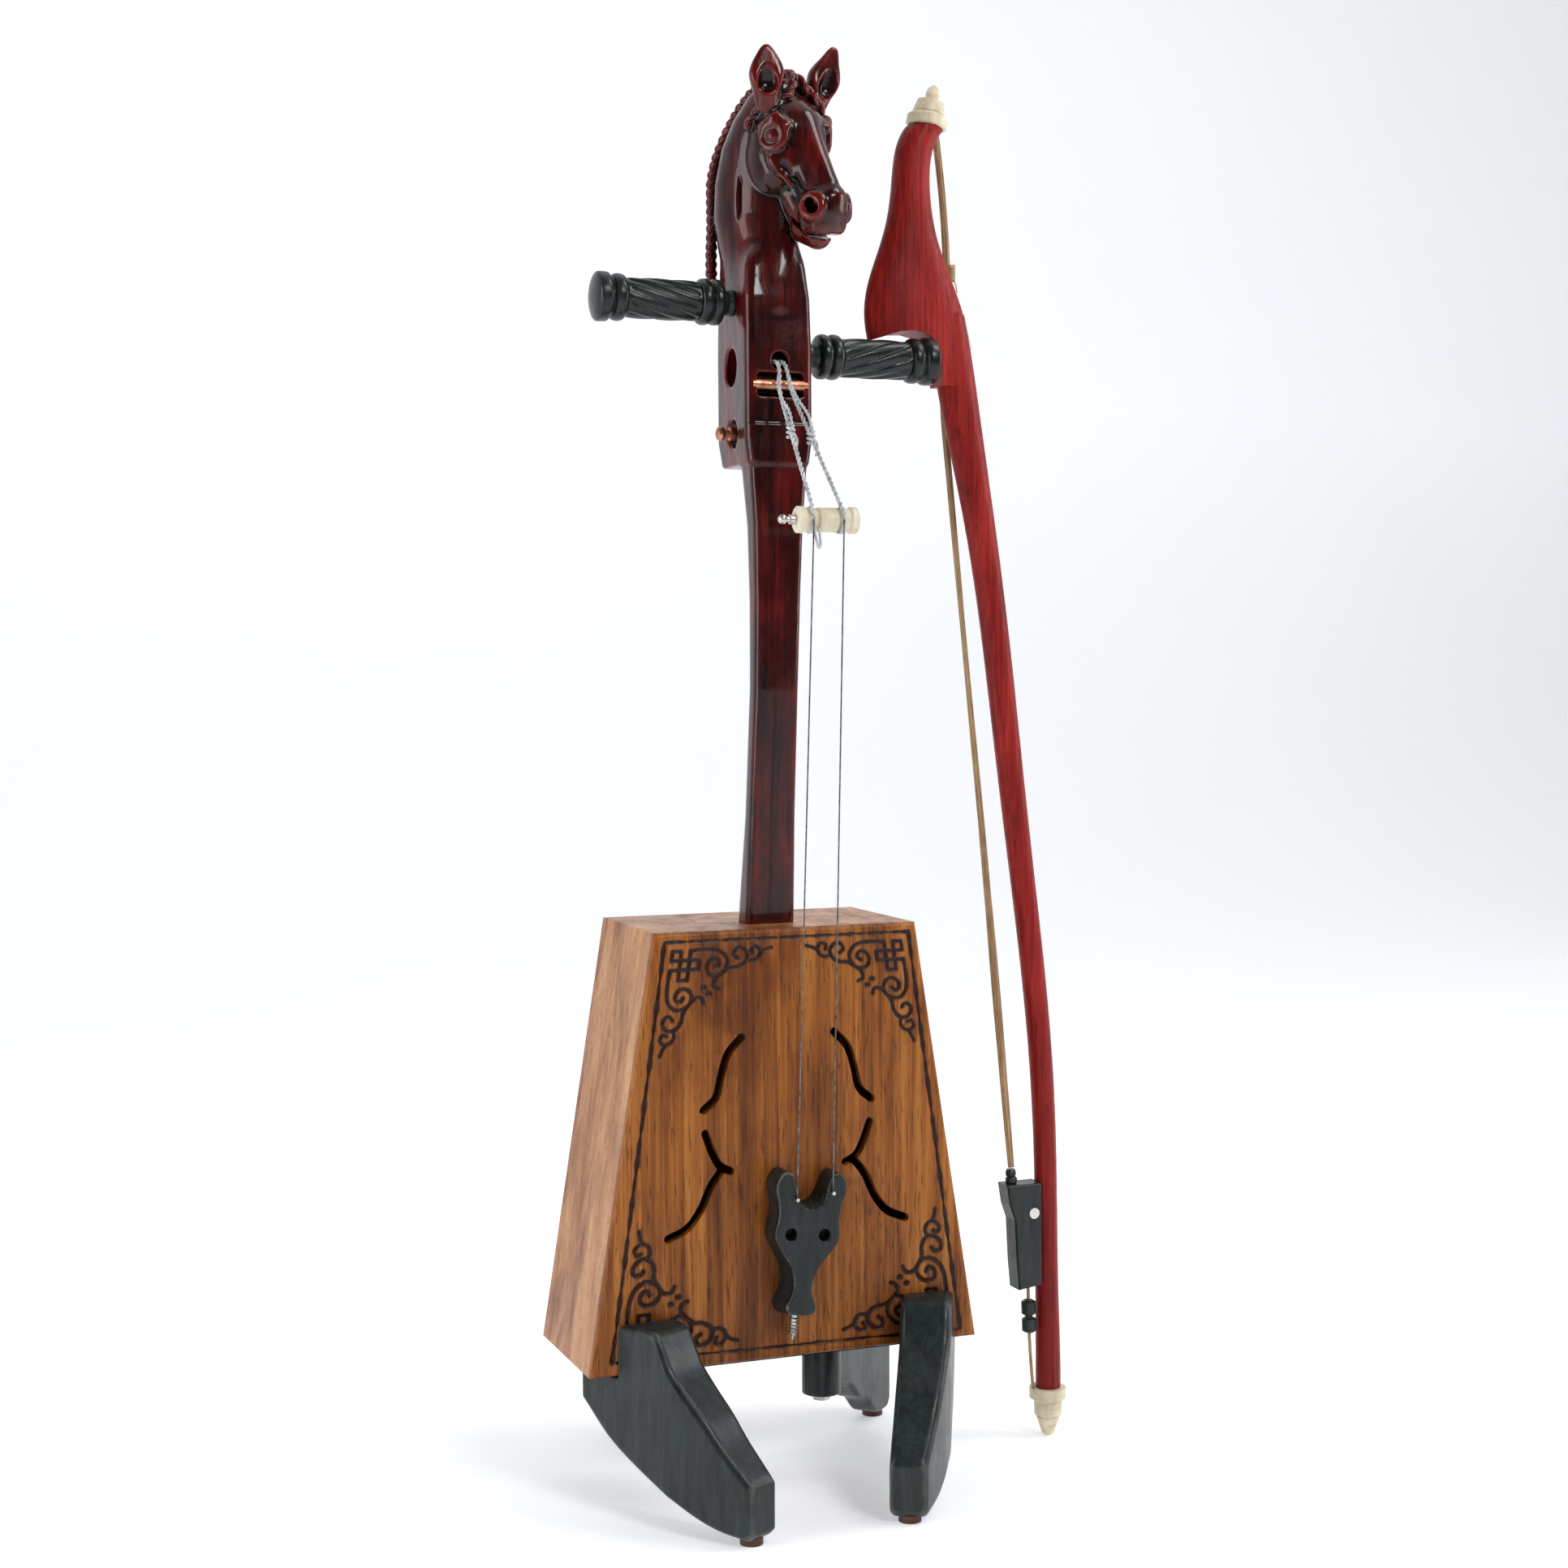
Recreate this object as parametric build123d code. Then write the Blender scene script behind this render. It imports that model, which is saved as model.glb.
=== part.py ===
"""Horse-head fiddle with its bow and its stand.

Millimetres, +Z up.  Everything is modelled about the fiddle: X = 0 is the middle of the soundbox,
Y = 0 its front face and Z = 0 the floor.  placed() then moves each piece so that the row's origin
is on the floor under the middle of the whole object.
"""
from build123d import *
from math import atan2, cos, degrees, pi, radians, sin, sqrt, tan
import os

# ---- driving dimensions -------------------------------------------------------------------
ORIGIN_X = 38.0            # middle of the whole object, measured from the fiddle's own axis
ORIGIN_Y = 37.4

BOX_BASE = 75.0            # underside of the soundbox above the floor
BOX_HEIGHT = 231.0
BOX_BOTTOM_WIDTH = 222.0
BOX_TOP_WIDTH = 149.0
BOX_DEPTH = 93.0
PLATE = 5.0                # front and back plates
WALL = 6.0                 # sides, top and bottom boards
SLOT_WIDTH = 4.5           # sound slots

BRIDGE_FOOT = 101.0        # lower end of the bridge above the floor
BRIDGE_DEPTH = 17.0
BRIDGE_TILT = 5.8          # degrees that the bridge leans to the right

NECK_FOOT = BOX_BASE + BOX_HEIGHT
NECK_TOP = 552.0
SPIKE_WIDTH = 16.0
SPIKE_FRONT = 29.0
SPIKE_BACK = 43.0

PEGBOX_TOP = 662.0
PEGBOX_WIDTH = 38.0
PEG_Y = 31.0
UPPER_PEG_Z = 638.4
LOWER_PEG_Z = 612.3
PEG_SHAFT_RADIUS = 5.0
PEG_CLEARANCE = 0.06       # running clearance of a peg shaft, on the radius
LOWER_PEG_OFFSET = 4.0     # how much further out the lower peg stands
KNOB_Z = 569.0

NUT_X = 9.4
NUT_Y = -32.0
NUT_Z = 520.0
NUT_LENGTH = 34.0
NUT_RADIUS = 7.0
STRING_RADIUS = 0.45
CORD_RADIUS = 1.2

HEAD_TURN = 20.0           # degrees that the carved head looks to the right

BOW_Y = 40.0               # middle plane of the bow
BOW_FOOT_X = 176.5
BOW_HEAD_Z = 742.0

TUSK_THICKNESS = 27.5      # width of the horn
TUSK_ANGLE = 27.6          # degrees between a front leg and the Y axis, in plan
TUSK_FOOT_X = 64.6         # a point on the outer face of a front leg
TUSK_FOOT_Y = -61.8
SEAT_Z = BOX_BASE - 0.3    # top of the stand under the soundbox
RAIL_THICKNESS = 8.0
RAIL_FRONT = 27.0
RAIL_BACK = 82.0
RAIL_HALF_WIDTH = 98.0
REAR_PIVOT_X = 42.0
REAR_PIVOT_Y = 58.0
REAR_LEG_LENGTH = 78.0
REAR_LEG_THICKNESS = 16.0
RIGHT_REAR_ANGLE = 45.0    # degrees outwards from straight back
LEFT_REAR_ANGLE = 0.0
PAD_HEIGHT = 4.0
PAD_RADIUS = 6.0

PIECES = {}


# ---- helpers ------------------------------------------------------------------------------
def keep(name, shape):
    """Remember one sub-part under its node name."""
    PIECES[name] = shape


def flat_face_xz(points, y=0.0):
    """A face standing in the plane Y = y with straight sides between (x, z) points."""
    line = Polyline(*[(x, y, z) for x, z in points], close=True)
    return make_face(line.edges())


def slab(face, depth):
    """The face thickened towards the back."""
    return extrude(face, amount=depth, dir=(0, 1, 0))


def box_between(low, high):
    """A box from its lowest to its highest corner."""
    size = [b - a for a, b in zip(low, high)]
    middle = [(a + b) / 2 for a, b in zip(low, high)]
    return Pos(*middle) * Box(*size)


def rod(start, end, radius):
    """A round bar from one point to another."""
    start = Vector(*start)
    end = Vector(*end)
    along = end - start
    plane = Plane(origin=start, z_dir=along)
    return plane * Cylinder(radius, along.length, align=(Align.CENTER, Align.CENTER, Align.MIN))


def turned(profile, origin, direction):
    """A turned piece: (radius, height) points spun about an axis through origin."""
    points = [(0, profile[0][1])] + list(profile) + [(0, profile[-1][1])]
    line = Polyline(*[(r, 0, h) for r, h in points], close=True)
    solid = revolve(make_face(line.edges()), Axis.Z)
    return Plane(origin=origin, z_dir=direction) * solid


def softened(shape, edges, radius):
    """Fillet the edges, with a smaller radius where the first is too large."""
    for r in (radius, radius * 0.6, radius * 0.3):
        try:
            result = fillet(edges, r)
            if result.is_valid:
                return result
        except Exception:
            continue
    return shape


def tube(points, radius, share=0.45):
    """A round cord along straight runs that are joined by tangent arcs."""
    vectors = [Vector(*p) for p in points]
    radii = []
    for a, b, c in zip(vectors, vectors[1:], vectors[2:]):
        turn = radians((b - a).get_angle(c - b))
        shorter = min((b - a).length, (c - b).length)
        radii.append(share * shorter / tan(turn / 2))
    path = FilletPolyline(*vectors, radius=radii) if radii else Line(*vectors)
    plane = Plane(origin=vectors[0], z_dir=vectors[1] - vectors[0])
    return sweep(plane * Circle(radius), path=path)


# ---- soundbox -----------------------------------------------------------------------------
SIDE_LEAN = (BOX_BOTTOM_WIDTH - BOX_TOP_WIDTH) / 2 / BOX_HEIGHT


def half_width(z):
    """Half the outer width of the soundbox at a height above the floor."""
    return BOX_BOTTOM_WIDTH / 2 - SIDE_LEAN * (z - BOX_BASE)


def box_outline(inset):
    """The four corners of the soundbox seen from the front, moved inwards by inset."""
    side = inset * sqrt(1 + SIDE_LEAN ** 2)
    low = BOX_BASE + inset
    high = NECK_FOOT - inset
    return [(-half_width(low) + side, low), (half_width(low) - side, low),
            (half_width(high) - side, high), (-half_width(high) + side, high)]


def sound_slot(side, points):
    """A cutter for one narrow curved slot through the front plate, on either side."""
    line = Spline(*[(side * x, z) for x, z in points])
    stroke = Plane.XZ * trace(line, line_width=SLOT_WIDTH)
    return Pos(0, PLATE + 1, 0) * extrude(stroke, amount=PLATE + 2)


def front_plate():
    plate = slab(flat_face_xz(box_outline(0)), PLATE)
    rim = plate.faces().sort_by(Axis.Y)[0].edges()
    plate = softened(plate, rim, 2.5)
    upper = [(26.5, 249), (34, 241), (38, 229.5), (41, 218), (48, 211.5)]
    lower_top = [(47, 199), (43.5, 189.5), (39, 181.5), (32.8, 178)]
    lower_tail = [(37, 180), (44, 171), (50, 158.5), (57.5, 149.5), (68, 144.8)]
    for side in (-1, 1):
        for points in (upper, lower_top, lower_tail):
            plate -= sound_slot(side, points)
    return plate


def back_plate():
    plate = Pos(0, BOX_DEPTH - PLATE, 0) * slab(flat_face_xz(box_outline(0)), PLATE)
    rim = plate.faces().sort_by(Axis.Y)[-1].edges()
    return softened(plate, rim, 2.5)


def side_board(side):
    low = BOX_BASE
    high = NECK_FOOT
    inner = WALL * sqrt(1 + SIDE_LEAN ** 2)
    points = [(side * half_width(low), low), (side * half_width(high), high),
              (side * (half_width(high) - inner), high), (side * (half_width(low) - inner), low)]
    return Pos(0, PLATE, 0) * slab(flat_face_xz(points), BOX_DEPTH - 2 * PLATE)


def neck_spike():
    """The square tenon of the neck, which runs down through the whole soundbox."""
    return box_between((-SPIKE_WIDTH / 2, SPIKE_FRONT, BOX_BASE + WALL),
                       (SPIKE_WIDTH / 2, SPIKE_BACK, NECK_FOOT + 1))


def end_board(low, high):
    inner = WALL * sqrt(1 + SIDE_LEAN ** 2)
    points = [(-half_width(low) + inner, low), (half_width(low) - inner, low),
              (half_width(high) - inner, high), (-half_width(high) + inner, high)]
    return Pos(0, PLATE, 0) * slab(flat_face_xz(points), BOX_DEPTH - 2 * PLATE)


def top_board():
    return end_board(NECK_FOOT - WALL, NECK_FOOT) - neck_spike()


def bottom_board():
    button_hole = rod((0, 36, BOX_BASE - 1), (0, 36, BOX_BASE + WALL + 1), 4.0)
    return end_board(BOX_BASE, BOX_BASE + WALL) - button_hole


def end_button():
    """A peg under the soundbox that pins the spike's lower end."""
    head = rod((0, 36, BOX_BASE + 0.5), (0, 36, BOX_BASE + WALL), 4.0)
    tail = rod((0, 36, BOX_BASE + WALL), (0, 36, BOX_BASE + WALL + 14), 3.0)
    return head + tail


def corner_blocks():
    """Four glue blocks in the inner corners, clear of the plates' slots."""
    corners = box_outline(WALL)
    size = 14.0
    blocks = []
    for index, (x, z) in enumerate(corners):
        inward = 1 if x < 0 else -1
        upward = 1 if index < 2 else -1
        lean = SIDE_LEAN * size * upward * inward
        points = [(x, z), (x + inward * size, z), (x + lean, z + upward * size)]
        blocks.append(Pos(0, PLATE, 0) * slab(flat_face_xz(points), BOX_DEPTH - 2 * PLATE))
    return Compound(children=blocks)


def bass_bar():
    bar = box_between((-23, PLATE, 112), (-15, PLATE + 10, 262))
    ends = bar.edges().filter_by(Axis.X).sort_by(Axis.Y)[-2:]
    return softened(bar, ends, 8)


def sound_post():
    return rod((16, PLATE, 152), (16, BOX_DEPTH - PLATE, 152), 3.5)


# ---- bridge and strings -------------------------------------------------------------------
def bridge_place():
    """Where the bridge stands: its foot on the front plate, leaning a little to the right."""
    return Pos(0, 0, BRIDGE_FOOT) * Rot(0, BRIDGE_TILT, 0)


def bridge():
    """A flat block sawn to the outline of a horse's face with two ears."""
    half = [(5.5, 0), (8.8, 4.5), (6.4, 10), (5.4, 16), (7.4, 25), (13, 33), (18.4, 41.5),
            (17.4, 52), (18.2, 60), (20.2, 68), (17.5, 75.5), (12, 76), (9, 69), (5.5, 61.5),
            (0, 58.5)]
    right = Spline(*[(x, 0, z) for x, z in half])
    left = Spline(*[(-x, 0, z) for x, z in half])
    foot = Line((-5.5, 0, 0), (5.5, 0, 0))
    block = extrude(make_face([*right.edges(), *left.edges(), *foot.edges()]),
                    amount=BRIDGE_DEPTH, dir=(0, -1, 0))
    for x in (-9.5, 9.5):
        block -= rod((x, -BRIDGE_DEPTH - 1, 43.5), (x, -BRIDGE_DEPTH + 9, 43.5), 3.4)
    block -= rod((0, -7.5, -1), (0, -7.5, 12), 1.9)
    return bridge_place() * block


def tail_screw():
    """The threaded pin that anchors the bridge at its foot."""
    shank = turned([(1.9, -11), (1.9, 12)], (0, 0, 0), (0, 0, 1))
    tip = turned([(0.7, -14.5), (1.9, -11)], (0, 0, 0), (0, 0, 1))
    threads = [turned([(1.9, z), (2.5, z + 0.5), (1.9, z + 1.0)], (0, 0, 0), (0, 0, 1))
               for z in (-10.5, -8.7, -6.9, -5.1, -3.3)]
    screw = shank + tip
    for ridge in threads:
        screw += ridge
    return bridge_place() * (Pos(0, -7.5, 0) * screw)


LOW_ANCHOR = (-2.4, -18.2, 164.0)
HIGH_ANCHOR = (18.0, -18.2, 166.0)
LOW_NUT = (-0.4, NUT_Y - NUT_RADIUS - 0.7, NUT_Z)
HIGH_NUT = (16.4, NUT_Y - NUT_RADIUS - 0.7, NUT_Z)


def string_pins():
    """Two small pins in the bridge's face that hold the lower ends of the strings."""
    pins = []
    for x, y, z in (LOW_ANCHOR, HIGH_ANCHOR):
        pins.append(rod((x, -BRIDGE_DEPTH + 5, z), (x, y - 1.6, z), 1.0))
    return Compound(children=pins)


def wire(anchor, nut):
    """One steel string, from its pin on the bridge up to the nut."""
    x, y, z = anchor
    return rod((x, y, z + 1.4), nut, STRING_RADIUS)


def string_cord(side, nut):
    """The twisted cord between the nut and the pegbox: out of the hole and over the cross bar."""
    x, y, z = nut
    points = [(side * 1.7, 15, 606.5), (side * 2.0, 4.5, 603.5), (side * 3.4, 1.6, 590),
              (x, y - 0.8, z + 2)]
    return tube(points, CORD_RADIUS)


def string_nut():
    """A bone spool with a waist and two end collars, standing off the front of the neck."""
    half = NUT_LENGTH / 2
    profile = [(5.6, 0), (6.9, 0.8), (NUT_RADIUS, 4.0), (6.0, 5.2), (6.3, half - 8), (5.4, half - 7),
               (5.4, half - 6), (6.4, half - 5)]
    mirrored = [(r, NUT_LENGTH - h) for r, h in reversed(profile)]
    spool = turned(profile + mirrored, (NUT_X - half, NUT_Y, NUT_Z), (1, 0, 0))
    return spool - nut_pin_rod(half + 1) - nut_post_rod()


def nut_pin_rod(right_reach):
    half = NUT_LENGTH / 2
    return rod((NUT_X - half - 5, NUT_Y, NUT_Z), (NUT_X + right_reach, NUT_Y, NUT_Z), 1.5)


def nut_pin():
    """The metal pin along the spool, with a ball on its free end."""
    half = NUT_LENGTH / 2
    ball = Pos(NUT_X - half - 7, NUT_Y, NUT_Z) * Sphere(2.6)
    collar = rod((NUT_X - half - 3.2, NUT_Y, NUT_Z), (NUT_X - half - 0.2, NUT_Y, NUT_Z), 2.6)
    return nut_pin_rod(half - 1) + ball + collar - nut_post_rod()


def nut_post_rod():
    return rod((9.0, 8.0, NUT_Z), (9.0, NUT_Y + 3.4, NUT_Z), 3.5)


def nut_post():
    """The short dowel that carries the spool in front of the neck."""
    return nut_post_rod()


# ---- neck, pegbox and carved head ---------------------------------------------------------
def neck_section(z, width, front, back):
    """A flat-fronted section with a rounded back."""
    half = width / 2
    middle = max(front + (back - front) * 0.45, back - half)
    front_line = Polyline((-half, middle, z), (-half + 1.5, front + 1.5, z), (-half + 3, front, z),
                          (half - 3, front, z), (half - 1.5, front + 1.5, z), (half, middle, z))
    back_arc = ThreePointArc((half, middle, z), (0, back, z), (-half, middle, z))
    return make_face([*front_line.edges(), *back_arc.edges()])


def neck():
    sections = [(NECK_FOOT, 28, 23.6, 50), (365, 26, 19, 38), (432, 25, 12.6, 32),
                (480, 26, 10, 31), (520, 28, 8.3, 33), (NECK_TOP, 31, 8, 41)]
    handle = loft([neck_section(*section) for section in sections])
    return handle + neck_spike()


def pegbox():
    sections = [(NECK_TOP, 35, 7.6, 56), (566, PEGBOX_WIDTH, 7, 57), (612, PEGBOX_WIDTH, 7, 57),
                (640, 36.5, 9, 57), (PEGBOX_TOP, 31, 14, 56)]
    block = loft([neck_section(*section) for section in sections])
    block -= box_between((-11, 17, 594), (6, 47, 652))
    block -= rod((0, 5, 606), (0, 20, 606), 5.0)
    block -= box_between((-13.5, 5, 587), (13.5, 15, 600))
    block -= rod((-25, 33, 604.5), (-8, 33, 604.5), 9.0)
    block -= rod((-25, PEG_Y, KNOB_Z), (-12.5, PEG_Y, KNOB_Z), 7.2)
    block -= rod((-25, PEG_Y, KNOB_Z), (-3, PEG_Y, KNOB_Z), 2.5)
    block -= rod((-25, PEG_Y, UPPER_PEG_Z), (15, PEG_Y, UPPER_PEG_Z), PEG_SHAFT_RADIUS + PEG_CLEARANCE)
    block -= rod((25, PEG_Y, LOWER_PEG_Z), (-5, PEG_Y, LOWER_PEG_Z), PEG_SHAFT_RADIUS + PEG_CLEARANCE)
    block -= rod((-15.5, 10, 593.5), (15.5, 10, 593.5), 3.0)
    return block


def string_bar():
    """The copper pin across the front of the pegbox that the strings pass over."""
    return rod((-15.5, 10, 593.5), (15.5, 10, 593.5), 3.0)


def tuner_knob():
    """A small turned copper knob in its round recess."""
    profile = [(2.44, 0), (2.44, 13), (3.6, 13.5), (3.6, 17), (2.2, 17.6), (2.2, 19.4), (3.4, 20.4),
               (3.9, 22), (3.4, 23.6), (1.6, 24.4)]
    return turned(profile, (-3.5, PEG_Y, KNOB_Z), (-1, 0, 0))


def oval(center, across, along, normal):
    """An elliptical section: across and along are its full widths."""
    plane = Plane(origin=center, x_dir=(1, 0, 0), z_dir=normal)
    return plane * Ellipse(across / 2, along / 2)


def horse_head():
    """The carved horse: arched neck, head turned to the right, two ears and a roached mane."""
    neck_sections = [oval((0, 35, PEGBOX_TOP), 30, 42, (0, 0, 1)),
                     oval((0, 36, 684), 32, 46, (0, 0, 1)),
                     oval((0, 36, 712), 32, 46, (0, -0.12, 1)),
                     oval((0, 31, 740), 30, 40, (0, -0.3, 1)),
                     oval((0, 24, 762), 25, 28, (0, -0.5, 1))]
    crest = loft(neck_sections)
    head_sections = [oval((0, 28, 762), 26, 30, (0, -0.62, -0.78)),
                     oval((0, 14, 745), 34, 44, (0, -0.55, -0.83)),
                     oval((0, 1, 722), 31, 36, (0, -0.5, -0.87)),
                     oval((0, -9, 702), 22, 27, (0, -0.45, -0.89)),
                     oval((0, -15, 684), 24, 25, (0, -0.4, -0.92)),
                     oval((0, -18, 673), 17, 15, (0, -0.4, -0.92))]
    face = loft(head_sections)
    turn = Pos(0, PEG_Y, 0) * Rot(0, 0, HEAD_TURN) * Pos(0, -PEG_Y, 0)
    head = turn * face
    for side in (-1, 1):
        ear = turned([(5.5, 0), (6.5, 6), (5.5, 14), (2.5, 22), (0.6, 26)],
                     (side * 11, 27, 757), (side * 0.12, -0.12, 1))
        head += turn * ear
    return crest + head


# ---- pegs ---------------------------------------------------------------------------------
def peg_frame(side, z, offset):
    """A plane at the pegbox's cheek whose Z axis points outwards along the peg."""
    return Plane(origin=(side * (PEGBOX_WIDTH / 2 + offset), PEG_Y, z), z_dir=(side, 0, 0))


def peg_shaft(side, z, offset, reach):
    """The round shaft inside the pegbox and its thicker shoulder outside."""
    inner = turned([(PEG_SHAFT_RADIUS, -reach - offset), (PEG_SHAFT_RADIUS, -offset + 0.4)],
                   (0, 0, 0), (0, 0, 1))
    outer = turned([(7.0, -offset + 0.4), (6.4, 3), (7.5, 6.5)], (0, 0, 0), (0, 0, 1))
    return peg_frame(side, z, offset) * (inner + outer)


def peg_ring(low, height, radius):
    """One rounded ring of the turned grip."""
    edge = height * 0.3
    return [(radius - edge, low), (radius, low + edge), (radius, low + height - edge),
            (radius - edge, low + height)]


def peg_rings(side, z, offset):
    """The two rings next to the pegbox."""
    profile = [(8.5, 6.5)] + peg_ring(6.7, 6, 12.2) + [(10, 13)] + peg_ring(13.3, 6, 12.2) + [(9.5, 19.5)]
    return peg_frame(side, z, offset) * turned(profile, (0, 0, 0), (0, 0, 1))


def peg_grip(side, z, offset):
    """The long grip with its shallow twisted flutes."""
    grip = turned([(9.8, 19.5), (10.6, 24), (10.4, 55), (9.6, 60)], (0, 0, 0), (0, 0, 1))
    return peg_frame(side, z, offset) * grip


def peg_cap(side, z, offset):
    """The ring and domed button at the outer end."""
    profile = [(9.4, 60)] + peg_ring(60.3, 7.6, 12.4) + [(9.6, 68.2)] + peg_ring(68.4, 7.2, 13)
    profile += [(9, 76.8), (4, 77.8)]
    return peg_frame(side, z, offset) * turned(profile, (0, 0, 0), (0, 0, 1))


def keep_pegs():
    for name, side, z, offset, reach in (("upper", -1, UPPER_PEG_Z, 0.0, 33.0),
                                         ("lower", 1, LOWER_PEG_Z, LOWER_PEG_OFFSET, 23.5)):
        keep(name + "_peg_shaft", peg_shaft(side, z, offset, reach))
        keep(name + "_peg_rings", peg_rings(side, z, offset))
        keep(name + "_peg_grip", peg_grip(side, z, offset))
        keep(name + "_peg_cap", peg_cap(side, z, offset))


# ---- bow ----------------------------------------------------------------------------------
def bow_section(z, left, right, depth):
    """A level section of the bow between two x values."""
    return Pos((left + right) / 2, BOW_Y, z) * Ellipse((right - left) / 2, depth / 2)


def bow_notch():
    """A cutter for the notch that hooks over the lower peg."""
    points = [(40, 560), (104, 560), (105.8, 600), (105, 608), (103.6, 616), (101.2, 622.5),
              (97, 627), (88, 629), (80, 628.4), (72, 626), (66, 624), (60, 624), (40, 624)]
    return Pos(0, BOW_Y - 30, 0) * slab(flat_face_xz(points), 60)


def bow_stick():
    """The wooden stick, with the swollen lobe at its head that hangs on the lower peg."""
    lobe = loft([bow_section(BOW_HEAD_Z, 87.5, 110.3, 21), bow_section(721, 80, 101, 20),
                 bow_section(700, 77.8, 101.5, 20), bow_section(677, 72, 107, 20),
                 bow_section(655, 64.4, 116.2, 21), bow_section(633, 62.5, 123.6, 22),
                 bow_section(600, 66, 129.5, 18)])
    lobe -= bow_notch()
    stick = loft([bow_section(640, 103, 122, 16), bow_section(600, 106.5, 129.5, 17),
                  bow_section(545, 119, 138, 16), bow_section(454, 135, 151, 14.5),
                  bow_section(362, 147, 161.8, 14), bow_section(268, 159.5, 173.3, 13.5),
                  bow_section(174, 167.2, 180.4, 13.2), bow_section(80, 168.8, 182.4, 13.4),
                  bow_section(28, 169, 183.6, 14)])
    return lobe + stick


def bow_head_cap():
    """The bone collar at the top of the stick."""
    profile = [(10.2, 0), (11.4, 1), (11.4, 5.6), (10, 6.8), (8.6, 7.2)]
    return turned(profile, (99.2, BOW_Y, BOW_HEAD_Z), (0.2, 0, 1))


def bow_finial():
    """The turned bone finial above the collar."""
    profile = [(8.6, 0), (8.9, 1.2), (7.6, 7.4), (4.2, 8.2), (3.2, 9.4), (4.1, 11.4), (3.2, 14.8),
               (1.6, 16.6)]
    start = Vector(99.2, BOW_Y, BOW_HEAD_Z) + Vector(0.2, 0, 1).normalized() * 7.2
    return turned(profile, start, (0.25, 0, 1))


def bow_end_collar():
    """The bone ring at the stick's foot."""
    profile = [(10.6, 0), (10.6, -6), (8.4, -7)]
    return turned(list(reversed(profile)), (BOW_FOOT_X - 0.4, BOW_Y, 28), (0, 0, 1))


def bow_end_tip():
    """The turned bone point that stands on the floor."""
    profile = [(2.0, 0), (3.4, 1.2), (5.2, 6), (6.6, 10.5), (6.2, 11.2), (7.8, 12), (8.2, 21)]
    return turned(profile, (BOW_FOOT_X - 0.2, BOW_Y, 0), (0, 0, 1))


HAIR_PATH = [(152.4, 40, 158), (135.6, 43, 350), (117.3, 48, 545), (114.4, 53.3, 615),
             (118.6, 49, 672), (109.5, 49.6, 740)]


def bow_hair():
    """The hank of horsehair: straight from the frog, then behind the lobe up to the collar."""
    return tube(HAIR_PATH, 1.7)


def hair_knot():
    """The binding where the two strands of hair are tied together."""
    x, y, z = HAIR_PATH[4]
    start = Vector(x, y, z - 12)
    return turned([(1.9, 0), (2.6, 1.5), (2.6, 8), (1.9, 9.5)], start, (0, 0, 1)) - bow_hair()


def frog():
    """The black block that holds the hair's lower end against the stick."""
    outline = flat_face_xz([(147.2, 148.6), (169, 148.6), (169.6, 89.5), (155, 87.6), (153.5, 103),
                            (152.2, 128), (149, 137)])
    block = Pos(0, BOW_Y - 6.5, 0) * slab(outline, 13)
    block = softened(block, block.faces().sort_by(Axis.Y)[0].edges(), 1.6)
    block -= bow_stick()
    return block - frog_dot()


def frog_dot():
    """A round pale inlay in the frog's face."""
    return rod((164.2, BOW_Y - 6.5, 131.5), (164.2, BOW_Y - 4.5, 131.5), 3.1)


def frog_ferrule():
    """The ribbed ring from which the hair leaves the frog."""
    profile = [(3.0, 0), (3.4, 1), (3.4, 3), (2.4, 4), (3.0, 5), (3.0, 7), (2.2, 8.4)]
    ring = turned(profile, (152.6, BOW_Y, 148.6), (-0.08, 0, 1))
    return ring - bow_hair()


CORD_PATH = [(163.3, 40, 88.6), (163.2, 39, 72), (164.0, 39, 50), (166.6, 40, 28)]


def frog_cord():
    """The tan cord that ties the frog's lower end to the foot of the stick."""
    return tube(CORD_PATH, 1.0)


def cord_beads():
    """Two black beads that slide on the cord to tighten the hair."""
    lean = 0.04
    beads = []
    for z in (76.0, 66.0):
        beads.append(turned([(2.8, -4.5), (4.2, -3.4), (4.2, 3.2), (2.8, 4.2)],
                            (163.2 + (76 - z) * lean, 39.2, z), (-lean, 0, 1)))
    bore = rod((163.2 - 20 * lean, 39.2, 96), (163.2 + 20 * lean, 39.2, 56), 2.2)
    return Compound(children=[(bead - bore).solids()[0] for bead in beads])


# ---- stand --------------------------------------------------------------------------------
def leg_plane(foot, angle, side):
    """A vertical plane: X runs from the foot to the rear along the leg, Y is up."""
    along = Vector(side * sin(radians(angle)), cos(radians(angle)), 0)
    return Plane(origin=(foot[0], foot[1], 0), x_dir=along, z_dir=along.cross(Vector(0, 0, 1)))


def tusk_spot(side, along, inward):
    """A spot in plan: along a front leg from its foot, and inward from its outer face."""
    angle = radians(TUSK_ANGLE)
    x = TUSK_FOOT_X + along * sin(angle) - inward * cos(angle)
    y = TUSK_FOOT_Y + along * cos(angle) + inward * sin(angle)
    return side * x, y


def tusk_plan(side):
    """The leg from above: broad at the horn, bent inwards and narrower at the toe."""
    outer = [tusk_spot(side, *spot) for spot in ((-16, 10.4), (0, 6.3), (17, 2.5), (35, 0))]
    inner = [tusk_spot(side, *spot) for spot in ((35, 27.5), (17, 28.3), (0, 29.3), (-16, 30))]
    rear = [tusk_spot(side, *spot) for spot in ((95, 0), (112, 20), (112, 27.5))]
    lines = Polyline(outer[-1], *rear, inner[0])
    toe = Polyline(inner[-1], outer[0])
    return make_face([*Spline(*outer).edges(), *lines.edges(), *Spline(*inner).edges(), *toe.edges()])


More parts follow.
